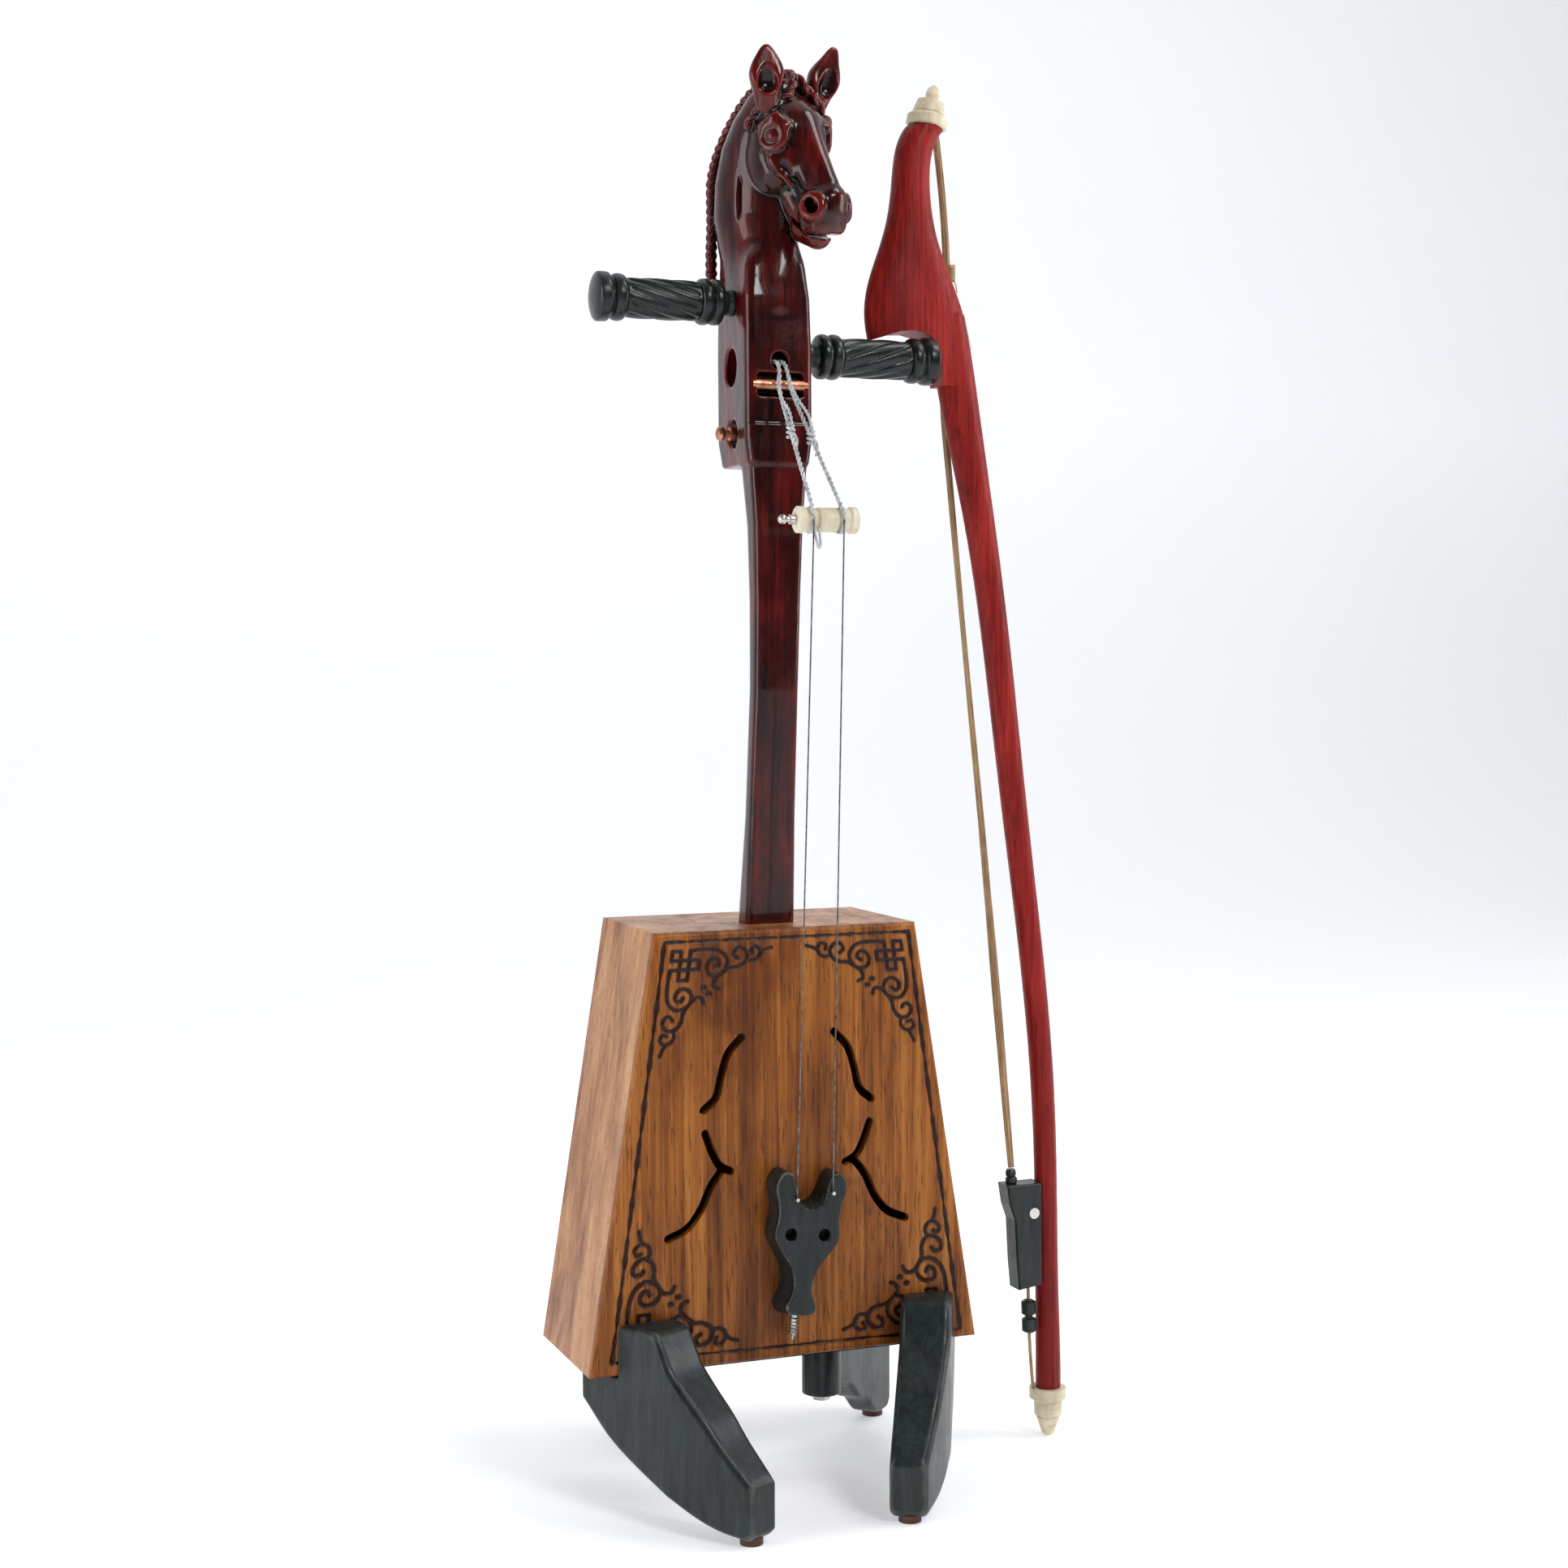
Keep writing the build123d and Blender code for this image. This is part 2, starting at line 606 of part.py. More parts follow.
def tusk(side):
    """A front leg shaped like a tusk: horn in front of the soundbox, foot far forward."""
    top = Spline((-13.5, 34), (1.3, 49.5), (11.5, 62), (22.2, 73), (32, 84), (38.5, 96))
    horn = ThreePointArc((38.5, 96), (42.6, 101.8), (50, 103.5))
    rest = Polyline((50, 103.5), (80, 102), (112, 90), (112, 57), (95, 57))
    bottom = Spline((95, 57), (74.6, 39.1), (43.9, 22.6), (10, 8), (-12, 3.6))
    front = Polyline((-12, 3.6), (-16, 6.5), (-16, 31), (-13.5, 34))
    plane = leg_plane((side * TUSK_FOOT_X, TUSK_FOOT_Y), TUSK_ANGLE, side)
    edges = [*top.edges(), *horn.edges(), *rest.edges(), *bottom.edges(), *front.edges()]
    face = plane * make_face(edges)
    inward = Vector(-side * cos(radians(TUSK_ANGLE)), sin(radians(TUSK_ANGLE)), 0)
    leg = extrude(face, amount=40, dir=tuple(inward))
    leg &= extrude(tusk_plan(side), amount=110, dir=(0, 0, 1))
    leg -= box_between((-150, -0.5, SEAT_Z), (150, 150, 120))
    leg -= box_between((-150, RAIL_FRONT, SEAT_Z - RAIL_THICKNESS), (150, 150, 120))
    return leg


def rail_screws(high):
    """Four screws that hold the rail down on the front legs."""
    screws = []
    for side in (-1, 1):
        for x, y in ((92.3, 34.3), (92.8, 44.1)):
            screws.append(rod((side * x, y, 60), (side * x, y, high), 2.0))
    return Compound(children=screws)


def stand_rail():
    """The flat rail under the soundbox that joins the legs and carries the rear hinges."""
    rail = box_between((-RAIL_HALF_WIDTH, RAIL_FRONT, SEAT_Z - RAIL_THICKNESS),
                       (RAIL_HALF_WIDTH, RAIL_BACK, SEAT_Z))
    rail = softened(rail, rail.edges().filter_by(Axis.Z), 5)
    rail -= rail_screws(SEAT_Z + 1)
    for side in (-1, 1):
        rail -= hinge_pin(side, SEAT_Z + 1)
    return rail


def front_leg(side):
    return tusk(side) - rail_screws(SEAT_Z)


def hinge_pin(side, high=SEAT_Z - 0.4):
    """The upright pin on which a rear leg swings, with its head under the leg."""
    x = side * REAR_PIVOT_X
    shank = rod((x, REAR_PIVOT_Y, 34.5), (x, REAR_PIVOT_Y, high), 3.0)
    head = rod((x, REAR_PIVOT_Y, 31.5), (x, REAR_PIVOT_Y, 34.5), 5.0)
    return shank + head


def rear_leg(side, angle):
    """A rear leg with a wavy underside, its round eye hung on the hinge pin."""
    high = SEAT_Z - RAIL_THICKNESS - 0.3
    wave = Spline((-8, 46), (10, 36), (24, 33), (38, 22), (50, 17), (62, 7), (72, 3.4))
    outline = Polyline((72, 3.4), (84, 3.4), (88, 8), (88, high - 10), (80, high), (-8, high), (-8, 46))
    plane = leg_plane((side * REAR_PIVOT_X, REAR_PIVOT_Y), angle, side)
    board = extrude(plane * make_face([*wave.edges(), *outline.edges()]),
                    amount=REAR_LEG_THICKNESS / 2, both=True)
    x = side * REAR_PIVOT_X
    eye = rod((x, REAR_PIVOT_Y, 35.0), (x, REAR_PIVOT_Y, high), 11.0)
    board += eye
    return board - rod((x, REAR_PIVOT_Y, 20), (x, REAR_PIVOT_Y, 80), 3.06)


def foot_pad(x, y):
    return rod((x, y, 0), (x, y, PAD_HEIGHT), PAD_RADIUS)


def rear_foot(side, angle):
    """The spot on the floor under the end of a rear leg."""
    x = side * (REAR_PIVOT_X + REAR_LEG_LENGTH * sin(radians(angle)))
    y = REAR_PIVOT_Y + REAR_LEG_LENGTH * cos(radians(angle))
    return x, y


def front_foot(side):
    """The spot on the floor under the toe of a front leg."""
    return tusk_spot(side, -7.0, 19.5)


# ---- everything together ------------------------------------------------------------------
def keep_stand():
    for name, side, angle in (("left", -1, LEFT_REAR_ANGLE), ("right", 1, RIGHT_REAR_ANGLE)):
        pad = foot_pad(*front_foot(side))
        leg = front_leg(side) - pad
        keep(name + "_front_leg", leg)
        keep(name + "_front_pad", pad)
        rear_pad = foot_pad(*rear_foot(side, angle))
        keep(name + "_rear_leg", rear_leg(side, angle) - rear_pad)
        keep(name + "_rear_pad", rear_pad)
        keep(name + "_hinge_pin", hinge_pin(side))
    keep("stand_rail", stand_rail())
    keep("rail_screws", rail_screws(SEAT_Z - 0.4))


def keep_soundbox():
    keep("front_plate", front_plate())
    keep("back_plate", back_plate())
    keep("left_side_board", side_board(-1))
    keep("right_side_board", side_board(1))
    keep("top_board", top_board())
    keep("bottom_board", bottom_board())
    keep("corner_blocks", corner_blocks())
    keep("bass_bar", bass_bar())
    keep("sound_post", sound_post())
    keep("end_button", end_button())


def keep_neck():
    keep("neck", neck() - rod((0, 36, 70), (0, 36, BOX_BASE + WALL + 14), 3.0))
    keep("pegbox", pegbox())
    keep("horse_head", horse_head())
    keep("string_bar", string_bar())
    keep("tuner_knob", tuner_knob())


def keep_strings():
    block = bridge()
    pins = string_pins()
    for pin in pins.children:
        block -= pin
    keep("bridge", block)
    keep("tail_screw", tail_screw())
    keep("string_pins", pins)
    keep("string_nut", string_nut())
    keep("nut_pin", nut_pin())
    keep("nut_post", nut_post())
    keep("low_string", wire(LOW_ANCHOR, LOW_NUT))
    keep("high_string", wire(HIGH_ANCHOR, HIGH_NUT))
    keep("low_string_cord", string_cord(-1, LOW_NUT))
    keep("high_string_cord", string_cord(1, HIGH_NUT))


def keep_bow():
    keep("bow_stick", bow_stick())
    keep("bow_head_cap", bow_head_cap() - bow_stick())
    keep("bow_finial", bow_finial() - bow_head_cap())
    keep("bow_end_collar", bow_end_collar())
    keep("bow_end_tip", bow_end_tip())
    keep("bow_hair", bow_hair())
    keep("hair_knot", hair_knot())
    keep("frog", frog())
    keep("frog_dot", frog_dot())
    keep("frog_ferrule", frog_ferrule() - frog())
    keep("frog_cord", frog_cord() - bow_end_collar() - frog())
    keep("cord_beads", cord_beads())


def placed(shape):
    """The piece in the row's own frame."""
    return Pos(-ORIGIN_X, -ORIGIN_Y, 0) * shape


def main():
    keep_stand()
    keep_soundbox()
    keep_neck()
    keep_strings()
    keep_pegs()
    keep_bow()
    os.makedirs("parts", exist_ok=True)
    for name, shape in PIECES.items():
        export_step(placed(shape), "parts/" + name + ".step")
    whole = Compound(children=[placed(shape) for shape in PIECES.values()]).bounding_box()
    print(len(PIECES), "pieces, from", whole.min, "to", whole.max)


main()
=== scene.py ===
"""Looks of the horse-head fiddle, its bow and its stand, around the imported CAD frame.

Shapes are written in the fiddle's own millimetres: x = 0 is the middle of the soundbox, y = 0 its
front face and z = 0 the floor.  place() turns them into metres of the shared frame.
"""
import math

import bmesh
import bpy
import numpy as np
import openvdb
from mathutils import Matrix, Vector


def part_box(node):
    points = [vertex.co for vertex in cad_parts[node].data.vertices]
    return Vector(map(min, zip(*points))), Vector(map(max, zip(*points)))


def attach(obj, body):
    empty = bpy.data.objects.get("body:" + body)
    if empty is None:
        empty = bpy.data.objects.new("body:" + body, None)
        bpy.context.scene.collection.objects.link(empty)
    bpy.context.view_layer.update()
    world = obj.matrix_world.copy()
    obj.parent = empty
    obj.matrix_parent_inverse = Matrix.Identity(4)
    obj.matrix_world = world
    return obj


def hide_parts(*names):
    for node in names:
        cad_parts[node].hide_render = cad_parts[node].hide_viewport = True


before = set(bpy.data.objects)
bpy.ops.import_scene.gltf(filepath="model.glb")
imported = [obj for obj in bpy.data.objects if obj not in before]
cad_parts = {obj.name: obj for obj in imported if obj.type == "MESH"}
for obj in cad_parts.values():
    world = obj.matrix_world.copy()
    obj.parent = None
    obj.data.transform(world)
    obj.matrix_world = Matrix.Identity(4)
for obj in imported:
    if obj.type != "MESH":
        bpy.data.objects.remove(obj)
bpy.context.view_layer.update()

MM = 0.001
PLATE_LOW, PLATE_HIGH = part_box("front_plate")
ORIGIN = np.array([(PLATE_LOW.x + PLATE_HIGH.x) / 2, PLATE_LOW.y, 0.0])
BOX_BASE = PLATE_LOW.z / MM
BOX_TOP = PLATE_HIGH.z / MM


def place(points):
    """Fiddle millimetres to metres of the shared frame."""
    return np.asarray(points, float) * MM + ORIGIN


# ---- node materials -----------------------------------------------------------------------
class Nodes:
    """A short way to write a procedural material."""

    def __init__(self, name):
        self.material = bpy.data.materials.new(name)
        self.material.use_nodes = True
        self.tree = self.material.node_tree
        self.tree.nodes.clear()
        self.shader = self.tree.nodes.new("ShaderNodeBsdfPrincipled")
        output = self.tree.nodes.new("ShaderNodeOutputMaterial")
        self.tree.links.new(self.shader.outputs[0], output.inputs["Surface"])
        self.place = self.tree.nodes.new("ShaderNodeTexCoord").outputs["Object"]

    def link(self, value, socket):
        if isinstance(value, bpy.types.NodeSocket):
            self.tree.links.new(value, socket)
        elif isinstance(value, (int, float)):
            socket.default_value = value
        else:
            color = tuple(value)
            length = len(socket.default_value)
            socket.default_value = (color + (1.0,))[:length]

    def stretched(self, x, y, z, warp=None):
        """Coordinates multiplied on each axis, so that a texture gets a grain direction."""
        node = self.tree.nodes.new("ShaderNodeMapping")
        node.inputs["Scale"].default_value = (x, y, z)
        self.link(self.place if warp is None else warp, node.inputs["Vector"])
        return node.outputs[0]

    def noise(self, vector, scale=1.0, detail=4.0, roughness=0.55, distortion=0.0):
        node = self.tree.nodes.new("ShaderNodeTexNoise")
        node.inputs["Scale"].default_value = scale
        node.inputs["Detail"].default_value = detail
        node.inputs["Roughness"].default_value = roughness
        node.inputs["Distortion"].default_value = distortion
        self.link(vector, node.inputs["Vector"])
        return node.outputs[0]

    def attribute(self, name):
        node = self.tree.nodes.new("ShaderNodeAttribute")
        node.attribute_name = name
        return node.outputs["Fac"]

    def ramp(self, factor, stops):
        """Colours at positions from 0 to 1."""
        node = self.tree.nodes.new("ShaderNodeValToRGB")
        elements = node.color_ramp.elements
        while len(elements) < len(stops):
            elements.new(0.5)
        for element, (position, color) in zip(elements, stops):
            element.position = position
            if isinstance(color, (int, float)):
                color = (color, color, color)
            element.color = tuple(color) + (1.0,)
        self.link(factor, node.inputs[0])
        return node.outputs[0]

    def mix(self, factor, a, b, blend="MIX"):
        node = self.tree.nodes.new("ShaderNodeMix")
        node.data_type = "RGBA"
        node.blend_type = blend
        self.link(factor, node.inputs[0])
        self.link(a, node.inputs[6])
        self.link(b, node.inputs[7])
        return node.outputs[2]

    def math(self, operation, a, b=0.0, clamp=False):
        node = self.tree.nodes.new("ShaderNodeMath")
        node.operation = operation
        node.use_clamp = clamp
        self.link(a, node.inputs[0])
        self.link(b, node.inputs[1])
        return node.outputs[0]

    def bump(self, height, distance, strength=1.0):
        """Bump from a height of 0 to 1 over a distance in metres."""
        node = self.tree.nodes.new("ShaderNodeBump")
        node.inputs["Distance"].default_value = distance
        node.inputs["Strength"].default_value = strength
        self.link(height, node.inputs["Height"])
        self.link(node.outputs[0], self.shader.inputs["Normal"])

    def finish(self, color, roughness, **constants):
        """Links colour and roughness, and sets constants straight on the shader's sockets."""
        self.link(color, self.shader.inputs["Base Color"])
        self.link(roughness, self.shader.inputs["Roughness"])
        for name, value in constants.items():
            self.link(value, self.shader.inputs[name.replace("_", " ")])
        return self.material


def wood(name, dark, middle, light, streak=150.0, shine=0.36, burnt=False, pores=0.55):
    """Varnished wood with its grain along Z."""
    n = Nodes(name)
    wavy = n.noise(n.stretched(9, 9, 3), 1.0, 2.0)
    band = n.noise(n.stretched(streak, streak * 0.8, 3.2), 1.0, 5.0, 0.6, 0.6)
    fine = n.noise(n.stretched(streak * 4.5, streak * 4, 16), 1.0, 3.0, 0.6)
    tone = n.math("ADD", n.math("MULTIPLY", band, 0.72), n.math("MULTIPLY", wavy, 0.28))
    tone = n.math("ADD", n.math("MULTIPLY", tone, 0.8), n.math("MULTIPLY", fine, 0.2))
    color = n.ramp(tone, [(0.36, dark), (0.49, middle), (0.62, light)])
    dash = n.noise(n.stretched(900, 900, 75), 1.0, 2.0, 0.5)
    pore = n.ramp(dash, [(0.33, 1.0), (0.40, 0.0)])
    color = n.mix(n.math("MULTIPLY", pore, pores), color, tuple(0.35 * c for c in dark))
    stain = n.noise(n.stretched(26, 26, 9), 1.0, 4.0, 0.6, 0.8)
    color = n.mix(n.ramp(stain, [(0.47, 0.0), (0.66, 0.75)]), color,
                  n.mix(1.0, color, (0.42, 0.30, 0.24), "MULTIPLY"))
    height = n.math("SUBTRACT", n.math("MULTIPLY", fine, 0.35), n.math("MULTIPLY", pore, 0.5))
    rough = n.ramp(band, [(0.3, shine + 0.1), (0.7, shine - 0.04)])
    if burnt:
        burn = n.attribute("burn")
        char = n.noise(n.stretched(700, 700, 700), 1.0, 4.0, 0.7)
        edge = n.math("ADD", burn, n.math("MULTIPLY", n.math("SUBTRACT", char, 0.5), 0.22))
        scorch = n.ramp(edge, [(0.50, 0.0), (0.66, 1.0)])
        halo = n.ramp(burn, [(0.25, 0.0), (0.58, 0.6)])
        brown = n.ramp(char, [(0.35, (0.010, 0.004, 0.003)), (0.7, (0.05, 0.017, 0.010))])
        color = n.mix(halo, color, n.mix(1.0, color, (0.45, 0.33, 0.28), "MULTIPLY"))
        color = n.mix(scorch, color, brown)
        rough = n.mix(scorch, rough, (0.42, 0.42, 0.42))
        height = n.math("ADD", height, n.math("MULTIPLY", char, n.math("MULTIPLY", burn, 0.9)))
    n.bump(height, 0.00035, 0.8)
    return n.finish(color, rough, Coat_Weight=0.06, Coat_Roughness=0.22, Specular_IOR_Level=0.2)


def lacquer(name, carved):
    """Dark red gloss lacquer with a painted highlight of bright red along its edges and black glaze pooled in
    hollows; the peg chamber is painted dark as shade.
    """
    n = Nodes(name)
    streak = n.noise(n.stretched(260, 120, 11), 1.0, 5.0, 0.65, 0.4)
    blotch = n.noise(n.stretched(60, 60, 26), 1.0, 3.0, 0.55)
    tone = n.math("ADD", n.math("MULTIPLY", streak, 0.6), n.math("MULTIPLY", blotch, 0.4))
    color = n.ramp(tone, [(0.36, (0.006, 0.0010, 0.001)), (0.50, (0.040, 0.0024, 0.0018)),
                          (0.66, (0.14, 0.005, 0.004))])
    if carved:
        # painted highlight: the lacquer is coloured brighter red along convex edges, where light catches them
        edge = n.math("ADD", n.attribute("edge"),
                      n.math("MULTIPLY", n.math("SUBTRACT", blotch, 0.5), 0.5))
        painted_edge_highlight = n.ramp(edge, [(0.25, 0.0), (1.0, 0.62)])
        color = n.mix(painted_edge_highlight, color, (0.17, 0.007, 0.005))
        # black glaze pooled in hollows; in the peg chamber, which carved_neck marks hollow throughout, this is
        # painted shade
        hollow = n.ramp(n.attribute("hollow"), [(0.10, 0.0), (0.6, 1.0)])
        color = n.mix(hollow, color, (0.004, 0.001, 0.001))
    tool = n.noise(n.stretched(190, 190, 70), 1.0, 3.0, 0.55)
    speck = n.noise(n.stretched(900, 900, 900), 1.0, 2.0, 0.5)
    height = n.math("ADD", n.math("MULTIPLY", tool, 0.85), n.math("MULTIPLY", speck, 0.15))
    n.bump(height, 0.0008, 0.55)
    rough = n.ramp(blotch, [(0.3, 0.17), (0.7, 0.30)])
    return n.finish(color, rough, Coat_Weight=0.42, Coat_Roughness=0.08, Specular_IOR_Level=0.15)


def black_wood(name, tint, shine=0.34, worn=0.35, edges=0.0):
    """Ebonised wood: satin blue-green black with brushed streaks and a little brown wear."""
    n = Nodes(name)
    brush = n.noise(n.stretched(190, 190, 30), 1.0, 5.0, 0.65, 0.5)
    cloud = n.noise(n.stretched(45, 45, 45), 1.0, 4.0, 0.6)
    darker = tuple(0.45 * c for c in tint)
    lighter = tuple(1.7 * c for c in tint)
    color = n.ramp(brush, [(0.34, darker), (0.52, tint), (0.70, lighter)])
    spot = n.ramp(n.noise(n.stretched(70, 70, 70), 1.0, 3.0, 0.7), [(0.70, 0.0), (0.80, 1.0)])
    color = n.mix(n.math("MULTIPLY", spot, worn), color, (0.055, 0.028, 0.016))
    if edges:
        rub = n.math("ADD", n.attribute("edge"), n.math("MULTIPLY", n.math("SUBTRACT", cloud, 0.5), 1.1))
        color = n.mix(n.math("MULTIPLY", n.ramp(rub, [(0.62, 0.0), (0.95, 1.0)]), edges), color,
                      (0.13, 0.13, 0.12))
    rough = n.ramp(cloud, [(0.3, shine - 0.06), (0.7, shine + 0.12)])
    speck = n.noise(n.stretched(1100, 1100, 700), 1.0, 2.0, 0.5)
    n.bump(n.math("ADD", n.math("MULTIPLY", brush, 0.7), n.math("MULTIPLY", speck, 0.3)), 0.0004, 0.7)
    return n.finish(color, rough, Coat_Weight=0.12, Coat_Roughness=0.2, Specular_IOR_Level=0.32)


def crimson_wood(name):
    """Stained crimson wood, satin, with fine dark grain along the stick."""
    n = Nodes(name)
    grain = n.noise(n.stretched(520, 520, 9), 1.0, 5.0, 0.65, 0.3)
    cloud = n.noise(n.stretched(38, 38, 14), 1.0, 3.0, 0.55)
    tone = n.math("ADD", n.math("MULTIPLY", grain, 0.6), n.math("MULTIPLY", cloud, 0.4))
    color = n.ramp(tone, [(0.34, (0.10, 0.005, 0.005)), (0.50, (0.26, 0.012, 0.010)),
                          (0.68, (0.42, 0.030, 0.022))])
    dash = n.noise(n.stretched(1500, 1500, 60), 1.0, 2.0, 0.5)
    pore = n.ramp(dash, [(0.34, 1.0), (0.40, 0.0)])
    color = n.mix(n.math("MULTIPLY", pore, 0.5), color, (0.05, 0.004, 0.004))
    n.bump(n.math("SUBTRACT", grain, n.math("MULTIPLY", pore, 0.5)), 0.00025, 0.7)
    rough = n.ramp(cloud, [(0.3, 0.34), (0.7, 0.46)])
    return n.finish(color, rough, Coat_Weight=0.05, Coat_Roughness=0.3, Specular_IOR_Level=0.16)


def bone(name):
    """Cream bone or pale boxwood with faint brown rings and lines."""
    n = Nodes(name)
    cloud = n.noise(n.stretched(110, 110, 60), 1.0, 4.0, 0.6)
    line = n.noise(n.stretched(40, 40, 900), 1.0, 2.0, 0.5)
    color = n.ramp(cloud, [(0.32, (0.60, 0.49, 0.33)), (0.55, (0.76, 0.68, 0.50)),
                           (0.75, (0.84, 0.79, 0.64))])
    color = n.mix(n.ramp(line, [(0.60, 0.0), (0.75, 0.35)]), color, (0.42, 0.27, 0.14))
    n.bump(n.math("ADD", n.math("MULTIPLY", line, 0.4), cloud), 0.0002, 0.6)
    rough = n.ramp(cloud, [(0.3, 0.42), (0.7, 0.54)])
    return n.finish(color, rough, Subsurface_Weight=0.05)


def metal(name, dark, light, shine=0.25):
    """Drawn or turned metal with fine scratches and dull spots."""
    n = Nodes(name)
    scratch = n.noise(n.stretched(900, 900, 160), 1.0, 3.0, 0.6)
    cloud = n.noise(n.stretched(240, 240, 240), 1.0, 4.0, 0.6)
    color = n.ramp(cloud, [(0.32, dark), (0.66, light)])
    rough = n.ramp(scratch, [(0.3, shine), (0.7, shine + 0.2)])
    n.bump(n.math("ADD", scratch, cloud), 0.0001, 0.5)
    return n.finish(color, rough, Metallic=1.0)


def fibre(name, dark, light, along):
    """Twisted or laid fibres: fine streaks along the strand."""
    n = Nodes(name)
    strand = n.noise(n.stretched(*along), 1.0, 4.0, 0.65, 0.3)
    cloud = n.noise(n.stretched(130, 130, 60), 1.0, 3.0, 0.6)
    tone = n.math("ADD", n.math("MULTIPLY", strand, 0.65), n.math("MULTIPLY", cloud, 0.35))
    color = n.ramp(tone, [(0.34, dark), (0.64, light)])
    n.bump(strand, 0.0003, 0.8)
    rough = n.ramp(cloud, [(0.3, 0.48), (0.7, 0.66)])
    return n.finish(color, rough, Sheen_Weight=0.25, Sheen_Roughness=0.4)


def rubber(name):
    n = Nodes(name)
    grain = n.noise(n.stretched(1500, 1500, 1500), 1.0, 3.0, 0.6)
    cloud = n.noise(n.stretched(150, 150, 150), 1.0, 3.0, 0.6)
    color = n.ramp(cloud, [(0.3, (0.045, 0.016, 0.009)), (0.7, (0.11, 0.045, 0.026))])
    n.bump(grain, 0.0002, 0.8)
    return n.finish(color, n.ramp(grain, [(0.3, 0.55), (0.7, 0.75)]))


def pearl(name):
    n = Nodes(name)
    cloud = n.noise(n.stretched(500, 500, 500), 1.0, 3.0, 0.6, 1.2)
    color = n.ramp(cloud, [(0.3, (0.78, 0.66, 0.58)), (0.5, (0.82, 0.79, 0.74)),
                           (0.7, (0.68, 0.76, 0.78))])
    n.bump(cloud, 0.0001, 0.4)
    return n.finish(color, n.ramp(cloud, [(0.3, 0.18), (0.7, 0.3)]), Coat_Weight=0.5)


MATERIALS = {
    "soundboard_wood": wood("soundboard_wood", (0.105, 0.027, 0.004), (0.30, 0.093, 0.013),
                            (0.48, 0.185, 0.034), burnt=True),
    "box_wood": wood("box_wood", (0.24, 0.085, 0.025), (0.42, 0.185, 0.066), (0.56, 0.29, 0.12),
                     streak=70.0),
    "inner_wood": wood("inner_wood", (0.40, 0.27, 0.14), (0.55, 0.40, 0.23), (0.66, 0.52, 0.33),
                       shine=0.6),
    "red_lacquer": lacquer("red_lacquer", carved=False),
    "copper": metal("copper", (0.30, 0.11, 0.06), (0.72, 0.34, 0.21)),
    "black_wood": black_wood("black_wood", (0.013, 0.021, 0.021)),
    "bone": bone("bone"),
    "steel": metal("steel", (0.34, 0.33, 0.31), (0.70, 0.69, 0.67)),
    "grey_cord": fibre("grey_cord", (0.22, 0.23, 0.24), (0.72, 0.74, 0.76), (900, 900, 300)),
    "crimson_wood": crimson_wood("crimson_wood"),
    "horsehair": fibre("horsehair", (0.28, 0.15, 0.06), (0.62, 0.42, 0.22), (1500, 1500, 20)),
    "pearl": pearl("pearl"),
    "brown_rubber": rubber("brown_rubber"),
}
MATERIALS["worn_black"] = black_wood("worn_black", (0.013, 0.020, 0.020), edges=0.45)
MATERIALS["bridge_black"] = black_wood("bridge_black", (0.009, 0.014, 0.014), 0.42, 0.5, edges=0.8)
MATERIALS["string_steel"] = metal("string_steel", (0.05, 0.05, 0.05), (0.22, 0.21, 0.20))
MATERIALS["peg_black"] = black_wood("peg_black", (0.008, 0.012, 0.012), 0.27, 0.15)
CARVED_LACQUER = lacquer("carved_lacquer", carved=True)


def dress_nodes():
    """Every CAD node keeps its slot, with the detailed material of the same name."""
    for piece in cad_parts.values():
        slot = piece.data.materials[0].name.split(".")[0]
        piece.data.materials[0] = MATERIALS[slot]


# ---- mesh helpers -------------------------------------------------------------------------
def add_mesh(name, points, faces, body, slot, material=None, smooth=True, attributes=None):
    """A mesh piece from fiddle millimetres that rides on a CAD body."""
    mesh = bpy.data.meshes.new(name)
    mesh.from_pydata(place(points).tolist(), [], [tuple(face) for face in faces])
    mesh.update()
    if smooth:
        mesh.shade_smooth()
    for key, values in (attributes or {}).items():
        layer = mesh.attributes.new(key, "FLOAT", "POINT")
        layer.data.foreach_set("value", np.asarray(values, np.float32))
    piece = bpy.data.objects.new(name, mesh)
    bpy.context.scene.collection.objects.link(piece)
    mesh.materials.append(material or MATERIALS[slot])
    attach(piece, body)
    return piece


def smooth_curve(points, steps=10, closed=False):
    """Points on a Catmull-Rom curve through the given points."""
    p = np.asarray(points, float)
    if closed:
        p = np.vstack([p[-1:], p, p[:2]])
    else:
        p = np.vstack([2 * p[0] - p[1], p, 2 * p[-1] - p[-2]])
    out = []
    for a, b, c, d in zip(p, p[1:], p[2:], p[3:]):
        for t in np.arange(steps) / steps:
            out.append(0.5 * (2 * b + (c - a) * t + (2 * a - 5 * b + 4 * c - d) * t ** 2
                              + (3 * b - a - 3 * c + d) * t ** 3))
    if not closed:
        out.append(p[-2])
    return np.array(out)


def path_frames(path):
    """Two unit vectors across a path at each point, carried along without twist."""
    tangents = np.gradient(path, axis=0)
    tangents /= np.linalg.norm(tangents, axis=1)[:, None]
    side = np.cross(tangents[0], (0.0, 0.0, 1.0))
    if np.linalg.norm(side) < 0.1:
        side = np.cross(tangents[0], (0.0, 1.0, 0.0))
    sides = []
    for tangent in tangents:
        side = side - tangent * side.dot(tangent)
        side /= np.linalg.norm(side)
        sides.append(side)
    sides = np.array(sides)
    return sides, np.cross(tangents, sides)


